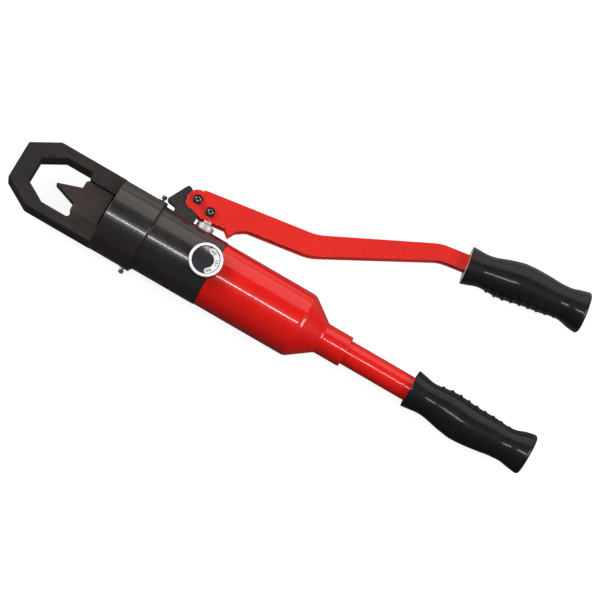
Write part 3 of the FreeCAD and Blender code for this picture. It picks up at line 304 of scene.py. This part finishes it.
def red_paint(name, colour):
    """Glossy enamel with slight orange peel and a few darker specks."""
    s = Shader(name, colour, Roughness=0.3, IOR=1.5)
    s.surface.inputs["Specular IOR Level"].default_value = 0.2
    s.surface.inputs["Coat Weight"].default_value = 0.7
    s.surface.inputs["Coat Roughness"].default_value = 0.05
    deeper = [part * 0.86 for part in colour]
    s.tint(deeper, s.remap(s.noise(22, 3), 0.4, 0.7, 0, 0.7))
    s.tint((0.22, 0.004, 0.004), s.remap(s.noise(900, 2), 0.78, 0.84, 0, 0.35))
    s.rough(s.noise(160, 3), 0.24, 0.36)
    s.bump(s.noise(420, 2), 0.02, 0.3)
    return s.material


def grip_black():
    """Dipped glossy vinyl, with the soft waves and fine dust pits of a moulded skin."""
    s = Shader("grip_black", (0.0075, 0.0062, 0.0088), Roughness=0.4, IOR=1.5)
    s.surface.inputs["Specular IOR Level"].default_value = 0.12
    s.surface.inputs["Coat Weight"].default_value = 0.42
    s.surface.inputs["Coat Roughness"].default_value = 0.13
    s.tint((0.0105, 0.0098, 0.0115), s.remap(s.noise(60, 4), 0.45, 0.72, 0, 0.8))
    s.tint((0.03, 0.029, 0.03), s.remap(s.noise(700, 5), 0.72, 0.82, 0, 0.5))
    s.rough(s.noise(90, 3), 0.34, 0.46)
    s.bump(s.noise(70, 2), 0.02, 0.08)
    s.bump(s.noise(900, 3), 0.002, 0.12)
    return s.material


def metal(name, colour, low, high, dark, scale=400, grain=(0.3, 1, 1), depth=0.008, metallic=1.0):
    """Bare or plated metal with grain and a dull bloom."""
    s = Shader(name, colour, Metallic=metallic)
    s.tint(dark, s.remap(s.noise(scale * 0.25, 4), 0.48, 0.75, 0, 0.75))
    s.rough(s.noise(scale, 4, stretch=grain), low, high)
    s.bump(s.noise(scale * 2, 3, stretch=grain), depth, 0.4)
    return s.material


def plastic(name, colour, other, low, high, scale=300, depth=0.02):
    """Rubber, vinyl or printed film: mottled, with a fine surface."""
    s = Shader(name, colour, IOR=1.48)
    s.tint(other, s.remap(s.noise(scale * 0.3, 4), 0.45, 0.7, 0, 0.8))
    s.rough(s.noise(scale, 3), low, high)
    s.bump(s.noise(scale * 3, 3), depth, 0.35)
    return s.material


MATERIALS = {
    "oxide_steel": oxide_steel(),
    "black_steel": black_steel(),
    "blade_steel": blade_steel(),
    "bright_steel": metal("bright_steel", (0.56, 0.55, 0.53), 0.2, 0.36, (0.33, 0.31, 0.29)),
    "seal_rubber": plastic("seal_rubber", (0.012, 0.012, 0.012), (0.03, 0.028, 0.027), 0.45, 0.65),
    "backup_plastic": plastic("backup_plastic", (0.62, 0.6, 0.54), (0.5, 0.47, 0.4), 0.35, 0.5),
    "spring_steel": metal("spring_steel", (0.35, 0.34, 0.34), 0.25, 0.42, (0.16, 0.15, 0.15)),
    "bolt_steel": metal("bolt_steel", (0.03, 0.031, 0.031), 0.28, 0.4, (0.015, 0.015, 0.015),
                        300, depth=0.002),
    "red_paint": red_paint("red_paint", (0.72, 0.0075, 0.005)),
    "grip_black": grip_black(),
    "chrome_plate": metal("chrome_plate", (0.88, 0.88, 0.88), 0.26, 0.38, (0.78, 0.78, 0.79), 300),
    "knob_metal": metal("knob_metal", (0.9, 0.91, 0.92), 0.24, 0.36, (0.84, 0.85, 0.86), 700,
                        metallic=0.15),
    "disc_black": plastic("disc_black", (0.026, 0.024, 0.03), (0.035, 0.032, 0.04), 0.12, 0.2,
                          250, 0.004),
    "label_white": plastic("label_white", (0.84, 0.86, 0.85), (0.74, 0.77, 0.76), 0.3, 0.42, 400),
}
HEAD_STEEL = head_steel()
SATIN_PLATE = metal("satin_plate", (0.5, 0.5, 0.5), 0.5, 0.6, (0.38, 0.38, 0.38), 300)
BARE_RING = metal("bare_ring", (0.3, 0.31, 0.31), 0.2, 0.3, (0.2, 0.2, 0.2), 300,
                  depth=0.0005)
# Light grey paint standing in for the lit inner rim of the lever grip's mouth: a painted highlight.
MOUTH_HIGHLIGHT_PAINT = plastic("painted_mouth_highlight", (0.6, 0.6, 0.6), (0.4, 0.4, 0.4), 0.4, 0.55)
# Near-black paint for the gap where the chisel's neck enters the barrel: painted shade, not dirt.
GAP_SHADE_PAINT = plastic("painted_gap_shade", (0.003, 0.003, 0.003), (0.006, 0.005, 0.005), 0.7, 0.9)
LEVER_PAINT = red_paint("lever_paint", (0.72, 0.022, 0.016))
KNURL = metal("knurl_dark", (0.2, 0.2, 0.21), 0.25, 0.4, (0.08, 0.08, 0.085), 600)
INK = plastic("ink", (0.03, 0.03, 0.035), (0.06, 0.06, 0.07), 0.3, 0.45, 500)


def node_slots():
    """Material slot of every CAD node, as the record gives them."""
    table = {}
    for name, node in frame["nodes"].items():
        table[name] = node.data.materials[0].name.split(".")[0]
    return table


SLOTS = node_slots()
for node_name, node in frame["nodes"].items():
    for index in range(len(node.data.materials)):
        node.material_slots[index].link = "OBJECT"
        node.material_slots[index].material = MATERIALS[SLOTS[node_name]]


# ---- geometry helpers ----


def piece(name, mesh, body, slot, material=None, smooth=True):
    """A new object that rides on a CAD body."""
    obj = bpy.data.objects.new(name, mesh)
    bpy.context.scene.collection.objects.link(obj)
    mesh.materials.clear()
    mesh.materials.append(material or MATERIALS[slot])
    if smooth:
        mesh.shade_smooth()
    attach(obj, body)
    return obj


def body_of(node_name):
    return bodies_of(frame["nodes"][node_name])[0]


def even_normals(obj, keep_sharp):
    """Shades large faces flat and lets the small ones between them carry the curve."""
    obj.modifiers.new("normals", "WEIGHTED_NORMAL").keep_sharp = keep_sharp


def refined(node_name, width, segments=3, material=None):
    """The CAD node again, with its edges rounded by width and its flats cleaned up."""
    mesh = frame["nodes"][node_name].data.copy()
    mesh.name = node_name + "_fine"
    work = bmesh.new()
    work.from_mesh(mesh)
    bmesh.ops.remove_doubles(work, verts=work.verts, dist=2e-6)
    bmesh.ops.dissolve_limit(work, angle_limit=math.radians(0.4), verts=work.verts,
                             edges=work.edges, delimit={"NORMAL"})
    work.to_mesh(mesh)
    work.free()
    obj = piece(node_name + "_fine", mesh, body_of(node_name), SLOTS[node_name], material)
    if width:
        bevel = obj.modifiers.new("edges", "BEVEL")
        bevel.width = width * MM
        bevel.segments = segments
        bevel.limit_method = "ANGLE"
        bevel.angle_limit = math.radians(28)
        bevel.use_clamp_overlap = True
        bevel.harden_normals = True
        bevel.miter_outer = "MITER_ARC"
    even_normals(obj, True)
    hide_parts(node_name)
    return obj


def grid_mesh(name, rows):
    """Mesh over rows of points, each row a closed ring, with the two ends capped."""
    verts = [point for row in rows for point in row]
    count = len(rows[0])
    faces = []
    for i in range(len(rows) - 1):
        for j in range(count):
            k = (j + 1) % count
            faces.append((i * count + j, (i + 1) * count + j, (i + 1) * count + k, i * count + k))
    faces.append(tuple(range(count)))
    faces.append(tuple((len(rows) - 1) * count + j for j in reversed(range(count))))
    mesh = bpy.data.meshes.new(name)
    mesh.from_pydata([Vector(v) * MM for v in verts], [], faces)
    work = bmesh.new()
    work.from_mesh(mesh)
    bmesh.ops.recalc_face_normals(work, faces=work.faces)
    work.to_mesh(mesh)
    work.free()
    return mesh


def lathe_z(name, profile, centre, steps=128, shape=None):
    """Solid turned about an upright axis; profile goes from the bottom centre to the top centre."""
    rows = []
    for radius, height in profile:
        row = []
        for j in range(steps):
            turn = 2 * math.pi * j / steps
            r = shape(radius, height, turn) if shape else radius
            row.append((centre[0] + r * math.cos(turn), centre[1] + r * math.sin(turn), height))
        rows.append(row)
    return grid_mesh(name, rows)


def smooth_curve(table, x):
    """Value of a table of (x, value) pairs at x, with an even slope through its points."""
    for i in range(len(table) - 1):
        if x <= table[i + 1][0] or i == len(table) - 2:
            break
    x0, v0 = table[max(i - 1, 0)]
    x1, v1 = table[i]
    x2, v2 = table[i + 1]
    x3, v3 = table[min(i + 2, len(table) - 1)]
    span = x2 - x1
    slope1 = (v2 - v0) / (x2 - x0)
    slope2 = (v3 - v1) / (x3 - x1)
    t = (x - x1) / span
    return ((2 * t**3 - 3 * t**2 + 1) * v1 + (t**3 - 2 * t**2 + t) * span * slope1
            + (3 * t**2 - 2 * t**3) * v2 + (t**3 - t**2) * span * slope2)


def step_up(value, low, high):
    t = min(max((value - low) / (high - low), 0.0), 1.0)
    return t * t * (3 - 2 * t)


# ---- grips ----


def grip_radius(x, turn, scale):
    """Edge of the grip at a place along it, turn 0 being the ribbed side."""
    inner = smooth_curve(GRIP_INNER, x)
    outer = smooth_curve(GRIP_OUTER, x)
    share = (1 + math.cos(turn)) / 2
    radius = outer + (inner - outer) * share
    flank = abs(math.sin(turn)) ** 2
    radius -= FLANK_INSET * flank
    for i in range(RIBS):
        place = RIB_FIRST + RIB_STEP * i
        if abs(x - place) < RIB_REACH:
            height = RIB_HEIGHT - RIB_FADE * i
            ridge = math.exp(-((x - place - RIB_SWEEP * flank) / RIB_WIDTH) ** 2)
            radius += height * ridge * step_up(math.cos(turn), 0.7, 0.9)
    return radius * scale


def bore_ring(x, half_y, half_z):
    """Ring of points round the grip's bore."""
    ring = []
    for j in range(GRIP_STEPS):
        turn = 2 * math.pi * j / GRIP_STEPS
        ring.append((x, half_y * math.cos(turn), half_z * math.sin(turn)))
    return ring


def grip_places():
    """Rings from the mouth to the closed end: place, where the outline is read, and scale."""
    places = [(x, x, scale) for x, scale in LIP]
    end = GRIP_LENGTH - END_LENGTH
    for i in range(BODY_RINGS + 1):
        x = LIP_LENGTH + (end - LIP_LENGTH) * i / BODY_RINGS
        places.append((x, x, 1.0))
    for k in range(1, 9):
        bend = math.pi / 2 * k / 8
        x = end + END_ROUND * math.sin(bend)
        inset = END_ROUND * (1 - math.cos(bend)) / END_RADIUS
        places.append((x, end, 1.0 - inset))
    for k in range(1, 13):
        share = 1 - k / 12.3
        x = GRIP_LENGTH - END_CROWN + END_CROWN * (1 - share * share)
        places.append((x, end, (1 - END_ROUND / END_RADIUS) * share))
    return places


def grip_mesh(name, length, bore, transform, side):
    """Moulded grip along +X of its own frame, with its mouth at 0 and ribs on the side given."""
    half_y, half_z = bore
    rows = [
        bore_ring(MOUTH_DEPTH, half_y, half_z),
        bore_ring(MOUTH_CHAMFER + 0.7, half_y, half_z),
        bore_ring(MOUTH_CHAMFER, half_y + MOUTH_CHAMFER, half_z + MOUTH_CHAMFER),
    ]
    stretch = length / GRIP_LENGTH
    for x, read, scale in grip_places():
        row = []
        for j in range(GRIP_STEPS):
            turn = 2 * math.pi * j / GRIP_STEPS
            r = grip_radius(read, turn, scale)
            row.append((x * stretch, side * r * math.cos(turn), r * FLATNESS * math.sin(turn)))
        rows.append(row)
    moved = [[transform @ Vector(point) for point in row] for row in rows]
    return grid_mesh(name, moved)


def grips():
    """Both grips; the lever's grip has a painted highlight in light grey round its mouth."""
    low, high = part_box("fixed_grip")
    start, end = low.x / MM, high.x / MM
    place = Matrix.Translation((start, 0, 0))
    mesh = grip_mesh("fixed_grip_skin", end - start, TUBE_HALF, place, 1)
    fixed = piece("fixed_grip_skin", mesh, "root", "grip_black")
    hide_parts("fixed_grip")
    frame_of_lever = Matrix.Translation(PIVOT) @ Matrix.Rotation(LEVER_ANGLE, 4, "Z")
    place = frame_of_lever @ Matrix.Translation((LEVER_GRIP_START, TANG_CENTRE, 0))
    mesh = grip_mesh("lever_grip_skin", LEVER_GRIP_LENGTH, TANG_HALF, place, -1)
    moving = piece("lever_grip_skin", mesh, "lever", "grip_black")
    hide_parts("lever_grip")
    # The mouth's chamfer and lip faces get the light grey: a painted highlight on the rim.
    mesh.materials.append(MOUTH_HIGHLIGHT_PAINT)
    for side in mesh.polygons[2 * GRIP_STEPS:4 * GRIP_STEPS]:
        side.material_index = 1


# ---- release knob ----


def disc_height(radius, top):
    """Top of the dished disc at a radius."""
    return top - DISC_DISH * (1 - (radius / DISC_RADIUS) ** 2)


def knob_side(low, radius, top):
    """Outline of the knob from its underside over the rim and down into the recess."""
    floor_height = top - FACE_DEPTH - RECESS_DEPTH
    return [
        (0.1, low), (radius - 1.0, low), (radius - 0.3, low + 0.25), (radius, low + 0.9),
        (radius, low + 1.4), (radius, top - 1.7), (radius, top - 1.1),
        (radius - 0.15, top - 0.55), (radius - 0.5, top - 0.15), (radius - 1.0, top),
        (radius - 2.0, top), (radius - 2.4, top - 0.1), (radius - 2.5, top - 0.4),
        (radius - 2.55, floor_height), (0.1, floor_height),
    ]


def knob_body(centre, low, radius, top):
    """White rim over a dark knurled side."""

    def knurl(r, z, turn):
        band = step_up(z, low + 0.9, low + 1.4) * (1 - step_up(z, top - 1.7, top - 1.1))
        if r < radius - 0.2:
            return r
        return r - KNURL_DEPTH * band * (0.5 + 0.5 * math.cos(KNURLS * turn))

    mesh = lathe_z("knob_body", knob_side(low, radius, top), centre, 8 * KNURLS, knurl)
    body = piece("knob_body", mesh, "knob", "knob_metal")
    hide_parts("release_knob")
    mesh.materials.append(KNURL)
    for side in mesh.polygons:
        if side.center.z < (top - 1.0) * MM:
            side.material_index = 1
    even_normals(body, False)


def knob_dish(centre, face):
    """Shallow dish that fills the recess."""
    rows = [(0.05, face - 2.0), (DISC_RADIUS, face - 2.0), (DISC_RADIUS, face - 0.1)]
    for i in range(25):
        r = DISC_RADIUS * (1 - i / 24.3)
        rows.append((r, disc_height(r, face)))
    mesh = lathe_z("knob_dish", rows, centre, 128)
    dish = piece("knob_dish", mesh, "knob", "disc_black")
    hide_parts("knob_disc")


def band_rows(centre, face, radii, angles, lift, thick, rounded):
    """Rings of a flat band on the dish between two radii and two angles."""
    inner, outer = radii
    start, end = angles
    steps = 72 if rounded else 4
    middle, half = (inner + outer) / 2, (outer - inner) / 2
    reach = half / middle
    rows = []
    for i in range(steps + 1):
        angle = start + (end - start) * i / steps
        near = min(angle - start, end - angle)
        width = half
        if rounded and near < reach:
            width = half * math.sqrt(max(1 - (1 - near / reach) ** 2, 0.0004))
        row = []
        for r, up in ((middle - width, 0), (middle - width, 1), (middle, 1),
                      (middle + width, 1), (middle + width, 0), (middle, 0)):
            z = disc_height(r, face) + lift + thick * up
            row.append((centre[0] + r * math.cos(angle), centre[1] + r * math.sin(angle), z))
        rows.append(row)
    return rows


def knob():
    """Release knob with its dish, a round-ended scale and plain marks."""
    low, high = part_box("release_knob")
    low, high = low / MM, high / MM
    centre = ((low.x + high.x) / 2, (low.y + high.y) / 2)
    face = high.z - FACE_DEPTH
    knob_body(centre, low.z, (high.x - low.x) / 2, high.z)
    knob_dish(centre, face)
    rows = band_rows(centre, face, (LABEL_INNER, LABEL_OUTER), (LABEL_START, LABEL_END), -0.02,
                     LABEL_THICKNESS, True)
    mesh = grid_mesh("knob_scale", rows)
    label = piece("knob_scale", mesh, "knob", "label_white", smooth=False)
    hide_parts("knob_label")
    for i, degrees in enumerate(MARK_ANGLES):
        long = 1.5 if i in LONG_MARKS else 1.1
        turn = math.radians(degrees)
        rows = band_rows(centre, face, (MARK_RADIUS - long, MARK_RADIUS + long),
                         (turn - MARK_HALF_WIDTH, turn + MARK_HALF_WIDTH),
                         LABEL_THICKNESS - 0.04, 0.07, False)
        name = f"knob_mark_{i:02d}"
        piece(name, grid_mesh(name, rows), "knob", "disc_black", INK, smooth=False)


# ---- bolts ----


def hexagon_edge(turn, flats):
    """Distance from the axis to the edge of a hexagon at an angle."""
    share = (turn + math.pi / 6) % (math.pi / 3) - math.pi / 6
    return flats / 2 / math.cos(share)


def bolt(node_name, turn_start):
    """Plain shank under a hexagon head with rounded corners, a raised ring and a domed dish."""
    low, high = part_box(node_name)
    low, high = low / MM, high / MM
    centre = ((low.x + high.x) / 2, (low.y + high.y) / 2)
    head_radius = (high.y - low.y) / 2
    top = high.z
    base = top - BOLT_HEAD
    shank = BOLT_SHANK / 2

    def edge(radius, height, turn):
        if radius < 0:
            flat = hexagon_edge(turn + turn_start, BOLT_FLATS)
            return min(flat, head_radius) * -radius
        return radius

    rows = [(0.05, low.z), (shank - 0.4, low.z), (shank, low.z + 0.4), (shank, base),
            (-1.0, base), (-1.0, base + 0.15), (-1.0, top - 0.75), (-0.985, top - 0.55),
            (-0.94, top - 0.3), (-0.87, top - 0.1), (-0.78, top), (-0.69, top - 0.02),
            (2.35, top - 0.3), (2.1, top - 0.62), (1.75, top - 0.78), (1.3, top - 0.7),
            (0.8, top - 0.55), (0.4, top - 0.48), (0.05, top - 0.46)]
    mesh = lathe_z(node_name + "_turned", rows, centre, 144, edge)
    obj = piece(node_name + "_turned", mesh, body_of(node_name), "bolt_steel")
    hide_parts(node_name)
    mesh.materials.append(BARE_RING)
    for side in mesh.polygons:
        away = math.hypot(side.center.x / MM - centre[0], side.center.y / MM - centre[1])
        if side.center.z / MM > top - 1 and RING_INNER < away < RING_OUTER:
            side.material_index = 1
    even_normals(obj, False)


# ---- springs ----


def spring(node_name, body, axis, from_high):
    """A coil with one end on the root and the other on a moving body; it stretches in between."""
    mesh = frame["nodes"][node_name].data.copy()
    mesh.name = node_name + "_coil"
    obj = bpy.data.objects.new(node_name + "_coil", mesh)
    bpy.context.scene.collection.objects.link(obj)
    mesh.materials.clear()
    mesh.materials.append(MATERIALS[SLOTS[node_name]])
    low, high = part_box(node_name)
    start = (low + high) / 2
    end = start.copy()
    start[axis] = high[axis] if from_high else low[axis]
    end[axis] = low[axis] if from_high else high[axis]
    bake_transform(obj, "root", body, start=tuple(start), end=tuple(end))
    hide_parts(node_name)


# ---- bracket weld ----


def weld():
    """Bead of weld where the bracket's foot meets the round pump body."""
    low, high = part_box("lever_bracket")
    x0, x1 = low.x / MM, high.x / MM
    half = WELD_HALF_WIDTH
    route = []
    steps = 34
    for i in range(steps + 1):
        route.append((x1 - 1.2 - (x1 - x0 - 1.0) * i / steps, half))
    for i in range(1, 16):
        route.append((x0 + 0.1, half - 2 * half * i / 16))
    for i in range(steps + 1):
        route.append((x0 + 0.2 + (x1 - x0 - 1.0) * i / steps, -half))
    rows = []
    for index, (x, z) in enumerate(route):
        y = math.sqrt(BODY_RADIUS**2 - z**2)
        ahead = route[min(index + 1, len(route) - 1)]
        behind = route[max(index - 1, 0)]
        along = Vector((ahead[0] - behind[0], 0, ahead[1] - behind[1])).normalized()
        out = Vector((0, y, z)).normalized()
        side = along.cross(out).normalized()
        uneven = noise.noise(Vector((index * 0.37, 3, 1)))
        size = WELD_SIZE + 0.16 * math.sin(index * 1.9) + 0.1 * uneven
        if index in (0, len(route) - 1):
            size *= 0.35
        row = []
        for j in range(10):
            turn = 2 * math.pi * j / 10
            offset = side * (size * math.cos(turn)) + out * (size * 0.8 * math.sin(turn))
            row.append(Vector((x, y - 0.1, z)) + offset)
        rows.append(row)
    mesh = grid_mesh("bracket_weld", rows)
    obj = piece("bracket_weld", mesh, "root", "black_steel")
    finer = obj.modifiers.new("finer", "SUBSURF")
    finer.levels = 1
    finer.render_levels = 1


# ---- refined CAD pieces ----

head = refined("head_frame", 0.35, 2, HEAD_STEEL)
head.data.materials.append(MATERIALS["oxide_steel"])
for face in head.data.polygons:
    if face.center.x > BARREL_FRONT * MM:
        face.material_index = 1
chisel = refined("blade", 0.25, 2)
# Faces behind the chisel's shoulder, in the gap under the barrel's front, are painted near-black: painted
# shade.
chisel.data.materials.append(GAP_SHADE_PAINT)
for face in chisel.data.polygons:
    if face.center.x > (BARREL_FRONT - NECK_GAP - 0.02) * MM:
        face.material_index = 1
refined("lever_channel", 0.55, 3, LEVER_PAINT)
refined("lever_bracket", 0.4, 2)
for nut in ("pivot_nut", "drive_nut"):
    refined(nut, 0.22, 2)
refined("gland_nut", 0.25, 2, SATIN_PLATE)
refined("lock_screws", 0.15, 2)
bolt("pivot_bolt", 0.35)
bolt("drive_bolt", 0.1)
grips()
knob()
weld()
spring("return_spring", "ram", 0, True)
spring("outlet_spring", "outlet_ball", 0, False)
spring("relief_spring", "relief_ball", 2, False)

# ---- floor, light and camera ----

# Metres from here on
FLOOR_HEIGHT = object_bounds()[0].z - 0.0002
FLOOR_SIZE = 6.0
CENTRE = Vector((0.2232, 0.0187, 0.0))
CAMERA_DISTANCE = 2.475
CAMERA_ROLL = math.radians(30.1)
TILT_UP, TILT_SIDE = 0.976, 0.22


def floor():
    mesh = bpy.data.meshes.new("floor")
    corners = [(-1, -1), (1, -1), (1, 1), (-1, 1)]
    points = [(x * FLOOR_SIZE, y * FLOOR_SIZE, FLOOR_HEIGHT) for x, y in corners]
    mesh.from_pydata(points, [], [(0, 1, 2, 3)])
    obj = bpy.data.objects.new("floor", mesh)
    bpy.context.scene.collection.objects.link(obj)
    s = Shader("floor", (0.22, 0.22, 0.22), Roughness=0.85)
    s.surface.inputs["Specular IOR Level"].default_value = 0.1
    s.tint((0.2, 0.2, 0.2), s.remap(s.noise(3, 2), 0.4, 0.7, 0, 0.5))
    lit = s.add("ShaderNodeEmission")
    lit.inputs["Strength"].default_value = 0.88
    both = s.add("ShaderNodeAddShader")
    s.link(s.surface.outputs["BSDF"], both.inputs[0])
    s.link(lit.outputs["Emission"], both.inputs[1])
    # Painted light: other than to the camera, the floor glows warm, faint near the tool and brighter towards
    # +Y, and this glow is what reflections and bounced light see.
    dull = s.add("ShaderNodeEmission")
    dull.inputs["Color"].default_value = (1, 0.91, 0.87, 1)
    split = s.add("ShaderNodeSeparateXYZ")
    s.link(s.place, split.inputs["Vector"])
    s.link(s.remap(split.outputs["Y"], 0.03, 0.3, 0.06, 0.8), dull.inputs["Strength"])
    mix = s.add("ShaderNodeMixShader")
    s.link(s.add("ShaderNodeLightPath").outputs["Is Camera Ray"], mix.inputs["Fac"])
    s.link(dull.outputs["Emission"], mix.inputs[1])
    s.link(both.outputs["Shader"], mix.inputs[2])
    s.link(mix.outputs["Shader"], s.tree.nodes["Material Output"].inputs["Surface"])
    mesh.materials.append(s.material)


def area(name, place, power, size_x, size_y, colour=(1, 1, 1)):
    """Rectangular light that faces the tool."""
    data = bpy.data.lights.new(name, "AREA")
    data.shape = "RECTANGLE"
    data.size = size_x
    data.size_y = size_y
    data.energy = power
    data.color = colour
    obj = bpy.data.objects.new(name, data)
    bpy.context.scene.collection.objects.link(obj)
    obj.location = place
    aim = (Vector(place) - CENTRE).normalized()
    across = Vector((1, 0, 0))
    across = (across - aim * across.dot(aim)).normalized()
    if abs(aim.x) > 0.6:
        across = Vector((0, 1, 0))
    up = aim.cross(across).normalized()
    obj.rotation_euler = Matrix((across, up, aim)).transposed().to_euler()


def lights():
    area("strip", (0.22, -0.28, 2.0), 9, 0.95, 0.12)
    area("left", (-1.9, 0.2, 1.7), 42, 1.2, 1.2)
    area("right", (2.3, 0.2, 1.7), 42, 1.2, 1.2)
    area("far", (0.2, 1.8, 1.0), 17, 2.6, 1.7, colour=(1.0, 0.91, 0.88))
    world = bpy.data.worlds.new("studio")
    world.use_nodes = True
    world.node_tree.nodes["Background"].inputs["Color"].default_value = (1, 1, 1, 1)
    world.node_tree.nodes["Background"].inputs["Strength"].default_value = 0.1
    bpy.context.scene.world = world
    bpy.context.scene.view_settings.view_transform = "Standard"


def camera():
    """Looks down on the tool from the fixed handle's side, rolled so that the tool slopes."""
    flat = Vector((0, TILT_UP, TILT_SIDE)).normalized()
    back = Vector((0, -TILT_SIDE, TILT_UP)).normalized()
    right = Vector((1, 0, 0)) * math.cos(CAMERA_ROLL) + flat * math.sin(CAMERA_ROLL)
    up = Vector((-1, 0, 0)) * math.sin(CAMERA_ROLL) + flat * math.cos(CAMERA_ROLL)
    data = bpy.data.cameras.new("camera")
    data.lens = 180
    data.sensor_width = 36
    obj = bpy.data.objects.new("camera", data)
    bpy.context.scene.collection.objects.link(obj)
    obj.matrix_world = (Matrix.Translation(CENTRE + back * CAMERA_DISTANCE)
                        @ Matrix((right, up, back)).transposed().to_4x4())
    bpy.context.scene.camera = obj


floor()
lights()
camera()
